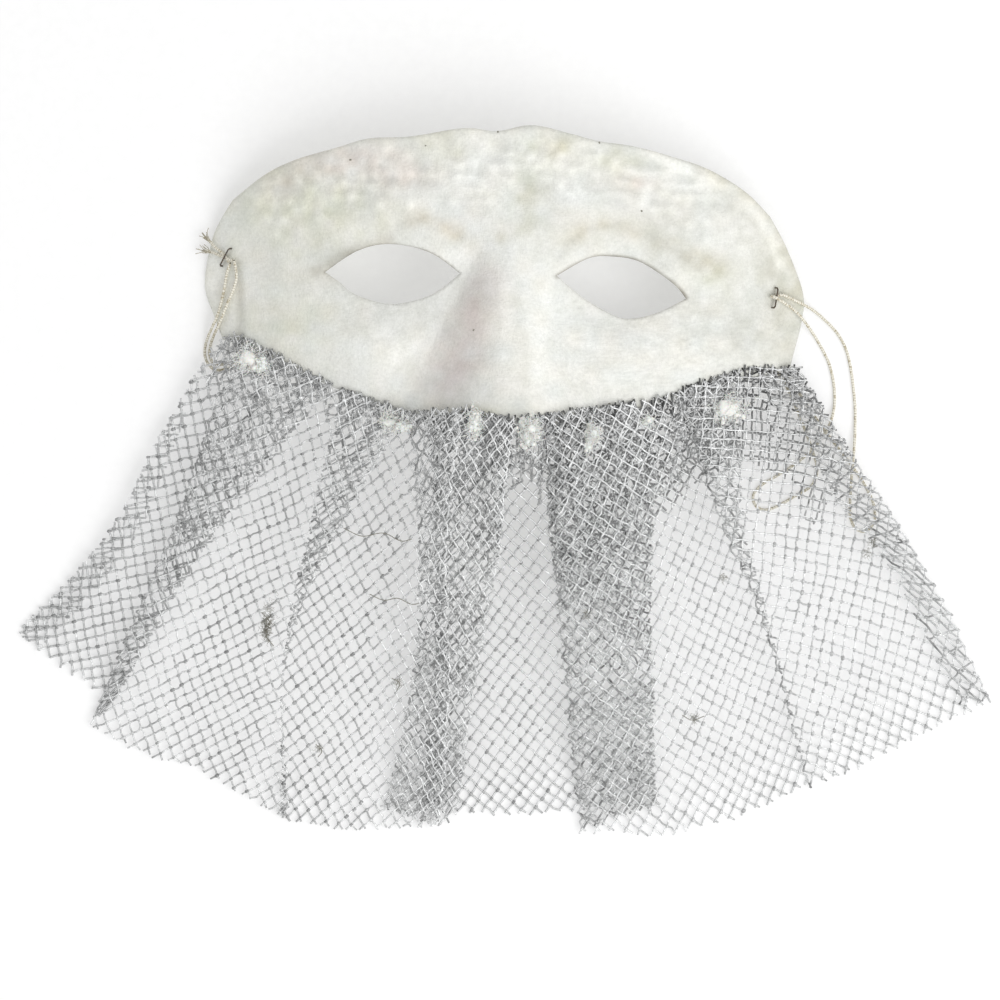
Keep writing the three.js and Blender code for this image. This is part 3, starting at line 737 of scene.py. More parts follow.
def strip(ways, lines, layers, t, unfold=None):
    """Places of a strip between two lines, each with layer, two counts, share down and turned or not."""
    rows = []
    for w in np.arange(ACROSS + 1) / ACROSS:
        places = lines[0] * (1 - w) + lines[1] * w
        layer = layers[0] + (layers[1] - layers[0]) * w * w * (3 - 2 * w)
        counts = mesh_place(ways, unfold(places) if unfold else places)
        turned_under = float(unfold is not None)
        rows.append(np.column_stack([places, np.full(len(t), layer), counts, t,
                                     np.full(len(t), turned_under)]))
    return rows


def mirrored_in(fold):
    return lambda places: 2 * fold - places


def panel_grid(ways, ribs):
    """A panel's grid of places, strip by strip, each one turned at a fold or not."""
    t = np.linspace(0, 1, DOWN + 1)
    rows = []
    for (rib_1, layer_1, *fold_1), (rib_2, layer_2, *fold_2) in zip(ribs, ribs[1:]):
        lines = spline_at(RIBS[rib_1], t), spline_at(RIBS[rib_2], t)
        folds = fold_1 + fold_2
        unfold = mirrored_in(spline_at(RIBS[folds[0]], t)) if folds else None
        made = strip(ways, lines, (layer_1, layer_2), t, unfold)
        rows += made[1:] if rows else made
    return np.array(rows)


grids = {name: panel_grid(*panel) for name, panel in PANELS.items()}
print("%d panels of net" % len(grids))

# %% [markdown]
# ## Gathers and bunched cloth
# At the glued edge the net was bunched up by hand, so the real one is darkest there: small pleats
# taper away under the big ones, and stray layers lie crosswise under the folds. The left edge is
# turned in over its whole length. These are more strips between the same ribs. A gather is two
# narrow strips, folded twice, and a fill is one strip whose threads are turned by an angle. A denser
# texture would look like a stain here, where real threads cross.

# %% Gathers and fills
GATHERS = [  # two ribs, share of the way between them, width at the top and reach, for small pleats
    ("left_mid", "left_hem", 0.5, 5, 0.2), ("fold_a", "mid_ab", 0.3, 7, 0.24),
    ("fold_a", "mid_ab", 0.65, 6, 0.17), ("mid_ab", "fold_b", 0.25, 6, 0.14),
    ("mid_ab", "fold_b", 0.6, 7, 0.2), ("fold_b", "fold_c", 0.2, 5, 0.13),
    ("fold_b", "fold_c", 0.55, 6, 0.16), ("fold_c", "second_c", 0.4, 7, 0.22),
    ("second_c", "fold_e", 0.3, 6, 0.16), ("second_c", "fold_e", 0.75, 6, 0.22),
    ("fold_e", "back_e", 0.25, 7, 0.3), ("fold_e", "back_e", 0.6, 7, 0.26),
    ("back_e", "back_g", 0.2, 6, 0.2), ("back_e", "back_g", 0.6, 7, 0.2),
    ("mid_gi", "end_right", 0.15, 6, 0.15), ("mid_gi", "end_right", 0.6, 6, 0.22),
]
FILLS = [  # two ribs, reach down, turn in degrees and layer of cloth bunched up or turned in
    ("end_left", "left_turn", 1.0, 12, 0.5),
    ("left_mid", "fold_a", 0.07, 25, 0.3), ("fold_a", "mid_ab", 0.11, 24, 0.4),
    ("fold_a", "mid_ab", 0.06, -33, 0.2), ("mid_ab", "fold_b", 0.11, 28, 0.4),
    ("mid_ab", "fold_b", 0.08, -20, 0.2), ("fold_b", "mid_bc", 0.1, 31, 0.4),
    ("mid_bc", "fold_c", 0.09, -26, 0.3), ("fold_c", "second_c", 0.2, 24, 0.6),
    ("fold_c", "second_c", 0.34, -31, 0.3), ("second_c", "fold_e", 0.2, 22, 0.4),
    ("second_c", "fold_e", 0.2, -35, 0.2), ("fold_e", "back_e", 0.5, 27, 0.6),
    ("fold_e", "back_e", 0.62, -24, 0.3), ("back_e", "back_g", 0.24, 33, 0.5),
    ("back_e", "back_g", 0.22, -27, 0.3), ("back_g", "mid_gi", 0.14, 30, 0.3),
    ("mid_gi", "end_right", 0.16, -30, 0.3), ("back_g", "mid_gi", 0.3, -14, 0.2),
    ("mid_gi", "end_right", 0.42, 10, 0.3), ("fold_e", "back_e", 0.38, 45, 0.4),
    ("back_e", "back_g", 0.28, 12, 0.2), ("fold_c", "second_c", 0.12, 50, 0.2),
]
WHOLE = 0.9  # a fill that reaches further down than this is a turned edge, not bunched cloth
SLANT = 0.65  # the shorter side of bunched cloth, as a share of the longer one
TURNED_EDGE_SHADE = 0.2  # painted shade on the turned edge, where a pleat that is turned under counts as 1
BUNCHED_SHADE = {"plain": 1.3, "right": 0.9, "fade": 0.4}  # and painted shade on bunched cloth, at its top
GATHER_LAYERS = (0.9, 0.5), (0.3, 0.1)
GATHER_TAPER = 0.9


def ways_beside(rib):
    """The threads' ways in the panel that has this rib."""
    return next(ways for ways, ribs in PANELS.values() if any(rib == other[0] for other in ribs))


def fill_grid(rib_1, rib_2, reach, turn, layer):
    """A strip of cloth bunched up under the net, with its threads turned another way."""
    t = np.linspace(0, reach, 8 + round(30 * reach))
    shares = (1, 1) if reach > WHOLE else (SLANT, 1) if turn < 0 else (1, SLANT)
    lines = [spline_at(RIBS[rib], t * share) for rib, share in zip((rib_1, rib_2), shares)]
    grid = np.array(strip(ways_beside(rib_1), lines, (layer, layer), t,
                          lambda places: turned(places, math.radians(turn))))
    right = clipped((grid[..., 0] + 10) / 30)
    shade_loss = BUNCHED_SHADE["plain"] + BUNCHED_SHADE["right"] * right
    shade_loss = shade_loss * (1 - BUNCHED_SHADE["fade"] * t / reach)
    # The turned column carries painted shade for these strips: a little on a turned edge, more on
    # bunched cloth, more towards the right and less further down.
    grid[..., TURNED_COLUMN] = TURNED_EDGE_SHADE if reach > WHOLE else shade_loss
    return grid


def gather_grids(rib_1, rib_2, share, width, reach):
    """Two short strips that lie folded under the net at its glued edge and taper away."""
    t = np.linspace(0, reach, 12)
    line_1, line_2 = spline_at(RIBS[rib_1], t), spline_at(RIBS[rib_2], t)
    first = line_1 * (1 - share) + line_2 * share
    second = first + unit(line_2 - line_1) * width * (1 - t / reach * GATHER_TAPER)[:, None]
    ways = ways_beside(rib_1)
    once = strip(ways, (first, second), GATHER_LAYERS[0], t, mirrored_in(first))
    shifted = lambda places: places + 2 * (first - second)
    twice = strip(ways, (second, first), GATHER_LAYERS[1], t, shifted)
    return np.array(once), np.array(twice)


for n, gather in enumerate(GATHERS):
    grids["gather_%d" % n], grids["gather_%d_back" % n] = gather_grids(*gather)
for n, fill in enumerate(FILLS):
    grids["fill_%d" % n] = fill_grid(*fill)
print("%d panels with the gathers and fills" % len(grids))

# %% [markdown]
# ## How high the net lies
# The net rests on the felt at its glued edge, hangs from it to the table and lies down there. The
# simple solid from the frame already holds that drape, so its underside is measured with rays from
# below, on an even raster. A blur takes its flat facets out. Over the felt the net may not sink in.

# %% Drape
RASTER = 2.0
RASTER_START = np.array([-150.0, -112.0])
RASTER_SIZE = (151, 86)
BLUR = 2.2  # in steps of the raster
OVER_FELT = 0.5
OVER_TABLE = 0.25


def blurred(values):
    reach = np.arange(-7, 8)
    weights = np.exp(-((reach / BLUR) ** 2) / 2)
    weights /= weights.sum()
    for axis in (0, 1):
        values = np.apply_along_axis(lambda row: np.convolve(row, weights, "same"), axis, values)
    return values


def drape_raster():
    solid = bpy.data.objects["net_veil"]
    tree = BVHTree.FromObject(solid, bpy.context.evaluated_depsgraph_get())
    height = np.zeros(RASTER_SIZE)
    known = np.zeros(RASTER_SIZE)
    for i, j in np.ndindex(RASTER_SIZE):
        x, y = (RASTER_START + RASTER * np.array([i, j])) * MM
        hit = tree.ray_cast(Vector((x, y, -1)), Vector((0, 0, 1)))[0]
        if hit:
            height[i, j] = hit.z / MM
            known[i, j] = 1
    return blurred(height) / np.maximum(blurred(known), 1e-6)


drape = drape_raster()


def on_raster(values, x, y):
    """The raster's value at any place, blended between its four nearest points."""
    u = np.clip((np.asarray(x) - RASTER_START[0]) / RASTER, 0, RASTER_SIZE[0] - 1.001)
    v = np.clip((np.asarray(y) - RASTER_START[1]) / RASTER, 0, RASTER_SIZE[1] - 1.001)
    i, j = u.astype(int), v.astype(int)
    s, t = u - i, v - j
    return ((values[i, j] * (1 - s) + values[i + 1, j] * s) * (1 - t)
            + (values[i, j + 1] * (1 - s) + values[i + 1, j + 1] * s) * t)


def net_height(x, y):
    """Height of the lowest layer of net over the table."""
    face = to_face(np.column_stack([np.ravel(x), np.ravel(y)]))
    felt_top = front_height(face[:, 0], face[:, 1]) + OVER_FELT
    lowest = np.where(inside(face, rim_line), felt_top, OVER_TABLE)
    return np.maximum(lowest, on_raster(drape, np.ravel(x), np.ravel(y)))


print("drape from %.1f to %.1f mm" % (drape.min(), drape.max()))

# %% [markdown]
# ## A panel laid flat
# To find its threads, a panel is laid flat in a plane where both counts of threads are the axes.
# There the threads are simply the lines on which one count is a whole number. A ray straight down
# onto the flat panel finds the triangle under a pair of counts, and the same spot in that triangle
# of the panel in plan says where the thread lies. Rays that miss are past the panel's edge.

# %% Flat panels
EDGE_TRIES = 8  # parts of a step in which a thread's last place is sought


class FlatPanel:
    """A panel laid flat, on which places can be looked up by their counts of threads."""

    def __init__(self, grid):
        columns, rows = grid.shape[:2]
        self.cells = grid.reshape(columns * rows, -1)
        corners = np.arange(columns * rows).reshape(columns, rows)
        a, b = corners[:-1, :-1].ravel(), corners[1:, :-1].ravel()
        c, d = corners[1:, 1:].ravel(), corners[:-1, 1:].ravel()
        self.triangles = np.vstack([np.column_stack([a, b, c]), np.column_stack([a, c, d])])
        counts = self.cells[:, COUNTS]
        self.tree = BVHTree.FromPolygons([Vector((u, v, 0)) for u, v in counts], self.triangles.tolist())
        self.low = np.floor(counts.min(axis=0)).astype(int)
        self.high = np.ceil(counts.max(axis=0)).astype(int)

    def at(self, u, v):
        """The row of the grid, blended, for a pair of counts, or None past the panel's edge."""
        hit, _, index, _ = self.tree.ray_cast(Vector((u, v, 1)), Vector((0, 0, -1)))
        if hit is None:
            return None
        p = self.cells[self.triangles[index]]
        corner = p[0, COUNTS]
        e1, e2, e = p[1, COUNTS] - corner, p[2, COUNTS] - corner, (u, v) - corner
        det = e1[0] * e2[1] - e1[1] * e2[0]
        s = (e[0] * e2[1] - e[1] * e2[0]) / det
        t = (e1[0] * e[1] - e1[1] * e[0]) / det
        return p[0] * (1 - s - t) + p[1] * s + p[2] * t

    def crossings(self):
        """Every crossing's place, and the way of the first set of threads there."""
        found, ways = [], []
        for i in range(self.low[0], self.high[0] + 1):
            for j in range(self.low[1], self.high[1] + 1):
                place, beside = self.at(i, j), self.at(i + 0.2, j)
                if place is not None and beside is not None:
                    found.append(place)
                    ways.append(math.atan2(*(beside - place)[1::-1]))
        return found, ways

    def thread(self, family, count):
        """Runs of places along one thread, from edge to edge of the panel."""
        runs, run = [], []
        spot = (lambda s: (s, count)) if family == 0 else (lambda s: (count, s))
        for half in range(2 * self.low[family], 2 * self.high[family] + 1):
            place = self.at(*spot(half / 2))
            if place is not None and not run:
                run = self.to_edge(spot, half / 2, -1)[::-1]
            if place is not None:
                run.append(place)
            elif run:
                runs.append(run + self.to_edge(spot, half / 2 - 0.5, 1))
                run = []
        return runs + ([run] if run else [])

    def to_edge(self, spot, start, way):
        """The last place on the panel within half a step past a known one."""
        for n in range(EDGE_TRIES // 2 - 1, 0, -1):
            place = self.at(*spot(start + way * n / EDGE_TRIES))
            if place is not None:
                return [place]
        return []


panels = [FlatPanel(grid) for grid in grids.values()]
print("%d panels laid flat" % len(panels))

# %% [markdown]
# ## How the threads lie and shine
# Soft thread never runs true, so each crossing is pushed a little to one side, each place halfway
# between two crossings a little more, and bunched cloth most. The thread is wrapped in thin metal.
# Each vertex gets its own brightness, which the net's finish reads later: painted light makes the
# threads brighter on raised layers, near the glued edge and towards the right, painted shade darkens
# the layers turned under and bunched cloth, and painted glints fall at random crossings. Both use a
# value that is always the same for the same crossing, so that crossing threads stay together.

# %% Lie and brightness of the threads
LAYER = 0.5  # height of one layer of net
SHAKE = 0.16
FREE_SHAKE = 0.1  # more of it between two crossings
CRUMPLED_SHAKE = 0.08  # and in bunched cloth
HEIGHT_SHAKE = 0.15
WAVE = {"reach": 0.5, "size": 14}  # how the whole net wavers in plan
RUCK = {"rise": 0.5, "size": 16}  # and how it rises where it hangs free
LEFT_PART = -70  # right of this place the net catches more and more light
SILVER = {"plain": 0.65, "right": 0.11, "layer": 0.06, "top": 0.14}  # brightness, and the painted light that adds to it
UNDER_SHADE = {"plain": 0.18, "right": 0.24}  # share of its brightness that painted shade takes from a turned layer
GLINT_SPREAD = {"plain": 0.07, "layer": 0.26, "top": 0.1}  # painted glints: how unlike each other the crossings are
GLINT_NOISE = {"depth": 0.1, "size": 2.3}
PAINTED_GLINTS = 0.9  # random values above this are painted glints of bright metal


def shake(i, j, seed):
    """A repeatable random value between -1 and 1 for each crossing."""
    return (np.sin(i * 12.9898 + j * 78.233 + seed * 37.719) * 43758.5453) % 2 - 1


def net_values(places):
    """The columns of some places as arrays, with both counts in whole half steps."""
    x, y, layer, u, v, down, turned_under = np.asarray(places).T
    return x, y, layer, u, v, down, turned_under, (np.round(u * 2), np.round(v * 2))


def soft_places(places, seed):
    """Places in plan and height, shaken as the crossings are."""
    x, y, layer, u, v, down, _, half = net_values(places)
    crumpled = clipped(layer - 0.4) + clipped(1 - down / 0.25)
    between = np.maximum(np.abs(u - np.round(u)), np.abs(v - np.round(v))) > 0.2
    reach = SHAKE + FREE_SHAKE * between + CRUMPLED_SHAKE * clipped(crumpled)
    dx = reach * shake(*half, seed) + WAVE["reach"] * soft_noise(x, y, WAVE["size"], 21)
    dy = reach * shake(*half, seed + 1) + WAVE["reach"] * soft_noise(x, y, WAVE["size"], 22)
    z = net_height(x, y) + LAYER * layer + HEIGHT_SHAKE * shake(*half, seed + 2)
    z = z + RUCK["rise"] * (1 + soft_noise(x, y, RUCK["size"], 23)) * clipped(4 * down)
    return np.column_stack([x + dx, y + dy, z])


def thread_tone(places, n):
    """Brightness of the silver, with painted light to the right, on raised layers and near the glued
    edge, painted shade on turned layers, and painted glints.
    """
    x, y, layer, _, _, down, turned_under, half = net_values(places)
    top = clipped(1 - down / 0.3)
    tone = SILVER["plain"] + SILVER["right"] * clipped((x - LEFT_PART) / 110)
    tone = tone + SILVER["layer"] * layer + SILVER["top"] * top
    shade_loss = UNDER_SHADE["plain"] + UNDER_SHADE["right"] * clipped((x - LEFT_PART) / 70)
    tone = tone * (1 - shade_loss * turned_under) + GLINT_NOISE["depth"] * soft_noise(x, y, GLINT_NOISE["size"], 60 + n)
    broken = GLINT_SPREAD["plain"] + GLINT_SPREAD["layer"] * clipped(layer - 0.2) + GLINT_SPREAD["top"] * top
    tone = tone + broken * shake(*half, n + 71)
    bright = shake(*half, n + 70) > PAINTED_GLINTS
    return np.clip(np.where(bright, 1, tone), 0.05, 1)


print("layers of net %.1f mm apart" % LAYER)

# %% [markdown]
# ## Threads of the net
# A thread is a thin tube through its crossings and the places halfway between them. Where it ends
# at a cut edge, it is drawn out a little past its last place, as loose thread is. Curves with a
# bevel would do it too, but their points can't each keep a brightness for the finish, so all tubes
# are made from arrays, as one mesh.

# %% Threads
THREAD = 0.7
FOLD_THREAD = 0.6  # threads in raised layers, which are pressed together
TUBE_SIDES = 3
CUT_EDGES = (0.01, 0.985)  # a thread that ends past these shares of the way down was cut there


def loose_end(line, length):
    """A line with its last step drawn out by a length."""
    return np.vstack([line, line[-1] + unit(line[-1] - line[-2]) * length])


def was_cut(place):
    """Whether a thread's last place is at the glued edge or at the hem."""
    return not CUT_EDGES[0] < place[DOWN_COLUMN] < CUT_EDGES[1]


thread_lines, thread_radii, thread_tones = [], [], []
for n, panel in enumerate(panels):
    for family in (0, 1):
        other = 1 - family
        for count in range(panel.low[other], panel.high[other] + 1):
            for run in panel.thread(family, count):
                if len(run) < 3:
                    continue
                line, tone = soft_places(run, n), thread_tone(run, n)
                for end, last in enumerate((run[-1], run[0])):
                    if was_cut(last):
                        line = loose_end(line, 0.3 + 1.2 * shake(count, n, 5 + end) ** 2)
                        tone = np.append(tone, 0.75 * tone[-1])
                    line, tone = line[::-1], tone[::-1]
                raised = max(place[LAYER_COLUMN] for place in run) > 0.2
                thread_lines.append(line)
                thread_radii.append((FOLD_THREAD if raised else THREAD) / 2)
                thread_tones.append(tone)
vertices, faces = joined([tube(line, radius, TUBE_SIDES)
                          for line, radius in zip(thread_lines, thread_radii)])
veil = piece_of("veil_net", vertices, faces, "net", "net_veil",
                silver=np.repeat(np.concatenate(thread_tones), TUBE_SIDES))
thread_total = sum(np.linalg.norm(np.diff(line, axis=0), axis=1).sum() for line in thread_lines)
print("%d threads, %.1f m, %d triangles" % (len(thread_lines), thread_total * MM, 2 * len(faces)))

# %% [markdown]
# ## Knots of the net
# Where two threads cross they are knotted, which shows as a small dark lump, longer than wide.
# Painted light makes the knots lighter on raised layers, at the glued edge and towards the right.
# Instances of one knot would be simple, but they are lost in the export. A ball of only twelve
# vertices is copied to every crossing in one array instead, turned and sized a little differently
# each time.

# %% Knots
KNOT = np.array([1.55, 0.92, 0.8])  # length, width and height
TARNISHED = {"plain": 0.34, "right": 0.16, "shake": 0.1}  # brightness, and what changes it: painted light to the right, and a shake
KNOT_LIT_TONE = 0.8  # brightness of a knot in full painted light


def small_ball():
    """An icosahedron of radius one half, as vertices and faces."""
    t = (1 + math.sqrt(5)) / 2
    corners = [(-1, t, 0), (1, t, 0), (-1, -t, 0), (1, -t, 0), (0, -1, t), (0, 1, t),
               (0, -1, -t), (0, 1, -t), (t, 0, -1), (t, 0, 1), (-t, 0, -1), (-t, 0, 1)]
    faces = [(0, 11, 5), (0, 5, 1), (0, 1, 7), (0, 7, 10), (0, 10, 11), (1, 5, 9), (5, 11, 4),
             (11, 10, 2), (10, 7, 6), (7, 1, 8), (3, 9, 4), (3, 4, 2), (3, 2, 6), (3, 6, 8),
             (3, 8, 9), (4, 9, 5), (2, 4, 11), (6, 2, 10), (8, 6, 7), (9, 8, 1)]
    return unit(np.array(corners)) / 2, np.array(faces)


def lumps(places, sizes, turns):
    """Copies of the small ball at places, each with its size and its turn about the vertical."""
    ball, faces = small_ball()
    shaped = ball[None] * sizes[:, None]
    c, s = np.cos(turns)[:, None], np.sin(turns)[:, None]
    x, y = shaped[..., 0] * c - shaped[..., 1] * s, shaped[..., 0] * s + shaped[..., 1] * c
    vertices = np.stack([x, y, shaped[..., 2]], -1) + places[:, None]
    starts = np.arange(len(places))[:, None, None] * len(ball)
    return vertices.reshape(-1, 3), (faces[None] + starts).reshape(-1, 3)


def knot_tone(places, n):
    """Knots are tarnished dark, and painted light makes them lighter on raised layers, at the glued edge
    and to the right.
    """
    x, y, layer, u, v, down, turned_under, _ = net_values(places)
    lit_share = np.clip(layer - 1.2, 0, 0.6) + 0.8 * clipped(1 - down / 0.22)
    lit_share = lit_share * clipped(1 - turned_under) + 0.25 * soft_noise(x, y, 9, 90)
    dark = TARNISHED["plain"] + TARNISHED["right"] * clipped(x / 40)
    dark = dark + TARNISHED["shake"] * shake(np.round(u), np.round(v), n)
    return dark + (KNOT_LIT_TONE - dark) * clipped(lit_share)


found = [panel.crossings() for panel in panels]
crossings = np.vstack([soft_places(places, n) for n, (places, _) in enumerate(found)])
knot_tones = np.concatenate([knot_tone(places, n) for n, (places, _) in enumerate(found)])
random = np.random.default_rng(5)
knot_sizes = KNOT * random.uniform(0.7, 1.25, (len(crossings), 1))
knot_turns = np.concatenate([ways for _, ways in found]) + random.normal(0, 0.12, len(crossings))
vertices, faces = lumps(crossings, knot_sizes, knot_turns)
knots = piece_of("veil_knots", vertices, faces, "net",
                 silver=np.repeat(knot_tones, len(vertices) // len(crossings)))
print("%d knots, %d triangles" % (len(crossings), len(faces)))

# %% [markdown]
# ## The elastic at the staples
# At the left staple both strands pass under the crown and end in two frayed tails. At the right one
# the cord simply turns round the crown, as it is one doubled length. Both are short braided tubes,
# as the strands are. Their few points are set in the staple's own frame, with its origin on the
# felt, Y along the crown and Z out of the felt, so that they follow the felt's slope. Fine tubes,
# spread at random from a tail's last millimetres, make the fray. Hair particles would make it too,
# but they are lost in the export.

# %% A staple's own frame
def face_point(x, y):
    return np.array([*to_part((x, y)), front_height(np.array(x), np.array(y))])


def staple_frame(side):
    """Matrix from the staple's own frame to the part's, both in millimetres."""
    (x1, y1), (x2, y2) = STAPLES[side]
    x, y, step = (x1 + x2) / 2, (y1 + y2) / 2, 0.25
    u = face_point(x + step, y) - face_point(x - step, y)
    v = face_point(x, y + step) - face_point(x, y - step)
    out = unit(np.cross(u, v))
    along = unit(face_point(x1, y1) - face_point(x2, y2))
    across = unit(np.cross(along, out))
    return np.column_stack([across, np.cross(out, across), out]), face_point(x, y)


def smooth_line(points, step=BRAID_STEP):
    route = soft_route([Vector(p) for p in points])
    return even_line(np.array(route), step)


def in_frame(side, points):
    turn, origin = staple_frame(side)
    return np.asarray(points) @ turn.T + origin


print("felt at the staples %.1f and %.1f mm high" % tuple(staple_frame(side)[1][2] for side in STAPLES))

# %% Tails of the elastic
TAIL_LINES = [
    [(-1, 0.25, 0.75), (-4.5, 0.5, 1.1), (-8.4, 0.9, 0.8)],
    [(-1, -0.45, 0.75), (-4, -1.1, 1.0), (-7, -2.1, 0.7)],
]
FRAY_FIBRES = 14
FIBRE = 0.2
FRAY_HEIGHT = 0.22  # as dark as the painted shade in the gaps between the yarns


def frayed(line, random):
    """Loose fibres from the last stretch of a line, as tubes."""
    tip, way = line[-1], unit(line[-1] - line[-8])
    fibres = []
    for _ in range(FRAY_FIBRES):
        root = line[-1 - random.integers(2, 14)] + random.normal(0, 0.15, 3)
        spread = way + random.normal(0, 0.45, 3)
        end = tip + spread * random.uniform(0.8, 2.6)
        end[2] = max(end[2], tip[2] - 0.8)
        middle = (root + end) / 2 + random.normal(0, 0.3, 3)
        fibres.append(tube(smooth_line([root, middle, end], 0.4), FIBRE / 2, 5))
    return fibres


def elastic_tails():
    """The two tails with their loose fibres, and how far each vertex stands out."""
    random = np.random.default_rng(8)
    parts, heights = [], []
    for points, tail in zip(STRAND_ROUTES.values(), TAIL_LINES):
        line = smooth_line([np.array(points[0]) / MM, *in_frame("left", tail)])
        vertices, faces, height, _ = braid(line, ELASTIC / MM)
        fibres = frayed(line, random)
        parts += [(vertices, faces), *fibres]
        heights += [height, *(np.full(len(fibre), FRAY_HEIGHT) for fibre, _ in fibres)]
    return joined(parts), np.concatenate(heights)


(vertices, faces), height = elastic_tails()
tails = piece_of("elastic_tails", vertices, faces, "elastic", "elastic_knot", yarn=height)
print("%d tails with %d fibres each" % (len(TAIL_LINES), FRAY_FIBRES))

# %% Bight of the elastic
BIGHT = [(0.8, -0.5, 1.9), (-0.2, -0.15, 2.15), (-1.2, 0.05, 1.8), (-1.6, 0.1, 1.2),
         (-1.3, 0.2, 0.65), (-0.3, 0.4, 0.55), (0.8, 0.6, 0.6)]

ends = [np.array(points[-1]) / MM for points in STRAND_ROUTES.values()]
bight_line = smooth_line([ends[0], *in_frame("right", BIGHT), ends[1]])
crown_way = staple_frame("right")[0][:, 1]
vertices, faces, height, _ = braid(bight_line, ELASTIC / MM, crown_way)
bight = piece_of("elastic_bight", vertices, faces, "elastic", "elastic_hitch", yarn=height)
print("a bight of %d rings" % len(bight_line))

# %% [markdown]
# ## Glue on the veil's edge
# Drops of whitish glue hold the net to the felt, with felt fibres caught in them. A drop could be
# sculpted, or modelled with metaballs. Here each one is a fine ball that is pushed about by smooth
# noise and flattened on the net, which keeps it in the place and size of its solid, and curly
# fibres lie across it.

# %% Glue
GLUE = {  # how far the noise of each drop's skin reaches across and along
    "glue_dab_1": (6.5, 4), "glue_dab_2": (6, 2.4), "glue_dab_3": (2.8, 2.3), "glue_dab_4": (2.4, 2.9),
    "glue_dab_5": (8, 4),
}
GLUE_FORM = (0.9, 0.95, 0.6)  # a drop's size as shares of its solid's
GLUE_SKIN = [(0.32, 2.0, 30), (0.1, 0.8, 40)]  # share that the noise swells it by, size and seed
GLUE_SINK = 0.5
GLUE_FIBRES = 80


def fine_ball(rings=28, sides=40):
    """A ball of radius one half in rings, as vertices and triangles."""
    turn = np.linspace(0, 2 * math.pi, sides, endpoint=False)
    rise = np.linspace(-math.pi / 2, math.pi / 2, rings)
    grid = np.array([[(math.cos(r) * math.cos(t), math.cos(r) * math.sin(t), math.sin(r))
                      for t in turn] for r in rise]) / 2
    index = np.arange(rings * sides).reshape(rings, sides)
    after = np.roll(index, -1, axis=1)
    return grid.reshape(-1, 3), np.stack([index[:-1], after[:-1], after[1:], index[1:]],
                                         -1).reshape(-1, 4)


def glue_fibre(root, random):
    """A short curly fibre that starts at a place and wanders over the drop."""
    way = random.uniform(0, 2 * math.pi)
    line = [root]
    for _ in range(4):
        way += random.normal(0, 0.8)
        step = np.array([math.cos(way), math.sin(way), random.normal(0, 0.12)])
        line.append(line[-1] + 0.7 * step)
    return tube(smooth_line(line, 0.35), 0.09, 4)


def glue_drop(n, node, size):
    """One drop on the net: a flattened lump with a soft uneven skin, and fibres lying on it."""
    low, high = (np.array(corner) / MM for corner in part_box(node))
    middle = (low + high) / 2 - (0, 0, GLUE_SINK)
    ball, faces = fine_ball()
    x, y = ball[:, 0] * size[0] + 40 * n, ball[:, 1] * size[1]
    swell = 1
    for share, grain, seed in GLUE_SKIN:
        swell = swell + share * soft_noise(x, y, grain, seed + n)
    lump = middle + ball * (high - low) * GLUE_FORM * swell[:, None], faces
    random = np.random.default_rng(50 + n)
    fibres = [glue_fibre(middle + random.normal(0, 0.32, 3) * (high - low) * (1, 1, 0.5), random)
              for _ in range(GLUE_FIBRES)]
    return piece_of("glue_drop_%d" % (n + 1), *joined([lump, *fibres]), "glue", node)


glue_drops = [glue_drop(n, node, size) for n, (node, size) in enumerate(GLUE.items())]
print("%d drops of glue" % len(GLUE))

# %% [markdown]
# ## Tufts, specks and snags
# More felt fibre is caught in the net below the drops, as soft white tufts with small flakes. A few
# dark specks of dirt sit on the felt, and the old net has snags: a dark tangle on the left, some
# smaller ones, and broken threads that lie on it. They were placed on the picture, so their middles
# are pixels. Hair would make tufts too, but as fine tubes along short wandering lines and as small
# lumps they are meshes like the rest.

# %% Small fibres and flakes
def over_net(pixels, rise):
    """Places just above the net, or above the felt where there is no net, for pixels."""
    places = np.array([at_pixel(*pixel) for pixel in np.atleast_2d(pixels)])
    return np.column_stack([places, net_height(*places.T) + rise])


def wander(middle, reach, count, seed, thick, stride=0.8):
    """Short curly fibres about a place."""
    random = np.random.default_rng(seed)
    made = []
    for _ in range(count):
        x, y = middle[:2] + random.normal(0, 0.5, 2) * reach
        way = random.uniform(0, 2 * math.pi)
        line = []
        for _ in range(5):
            line.append((x, y, middle[2] + random.uniform(0, 0.5)))
            way += random.normal(0, 0.9)
            x, y = x + stride * math.cos(way), y + stride * math.sin(way)
        made.append(tube(smooth_line(line, 0.4), thick / 2, 4))
    return made


def flock(middle, reach, count, seed):
    """Small flat flakes of felt, heaped about a place."""
    random = np.random.default_rng(seed)
    places = middle + random.normal(0, 0.42, (count, 3)) * (*reach, 0.5)
    sizes = random.uniform(0.8, 2.1, (count, 1)) * (1.0, 0.75, 0.35)
    return lumps(places, sizes, random.uniform(0, 3, count))


print("ready to make tufts")

# %% Tufts, specks and snags
TUFTS = [  # pixel of the picture, reach across and down in millimetres, and fibres
    ((475, 424), (1.5, 4.6), 110), ((529, 433), (2.3, 4.0), 150), ((589, 438), (1.5, 4.0), 90),
    ((727, 411), (4.0, 2.4), 90), ((262, 366), (1.8, 2.2), 50), ((405, 427), (2.6, 1.2), 60),
    ((648, 421), (1.4, 0.9), 24),
]
SPECKS = [(351, 161), (426, 147), (498, 133), (599, 144), (474, 331), (609, 404), (641, 212)]
SNAGS = [  # broken threads, as pixels of the picture
    [(344, 528), (362, 536), (384, 533), (402, 541), (412, 539)],
    [(370, 594), (384, 600), (398, 598), (412, 604), (423, 602)],
    [(262, 612), (270, 622), (266, 634), (274, 646)], [(392, 678), (400, 683), (397, 690)],
    [(316, 744), (322, 751), (318, 757)], [(682, 715), (692, 720), (704, 716)],
]
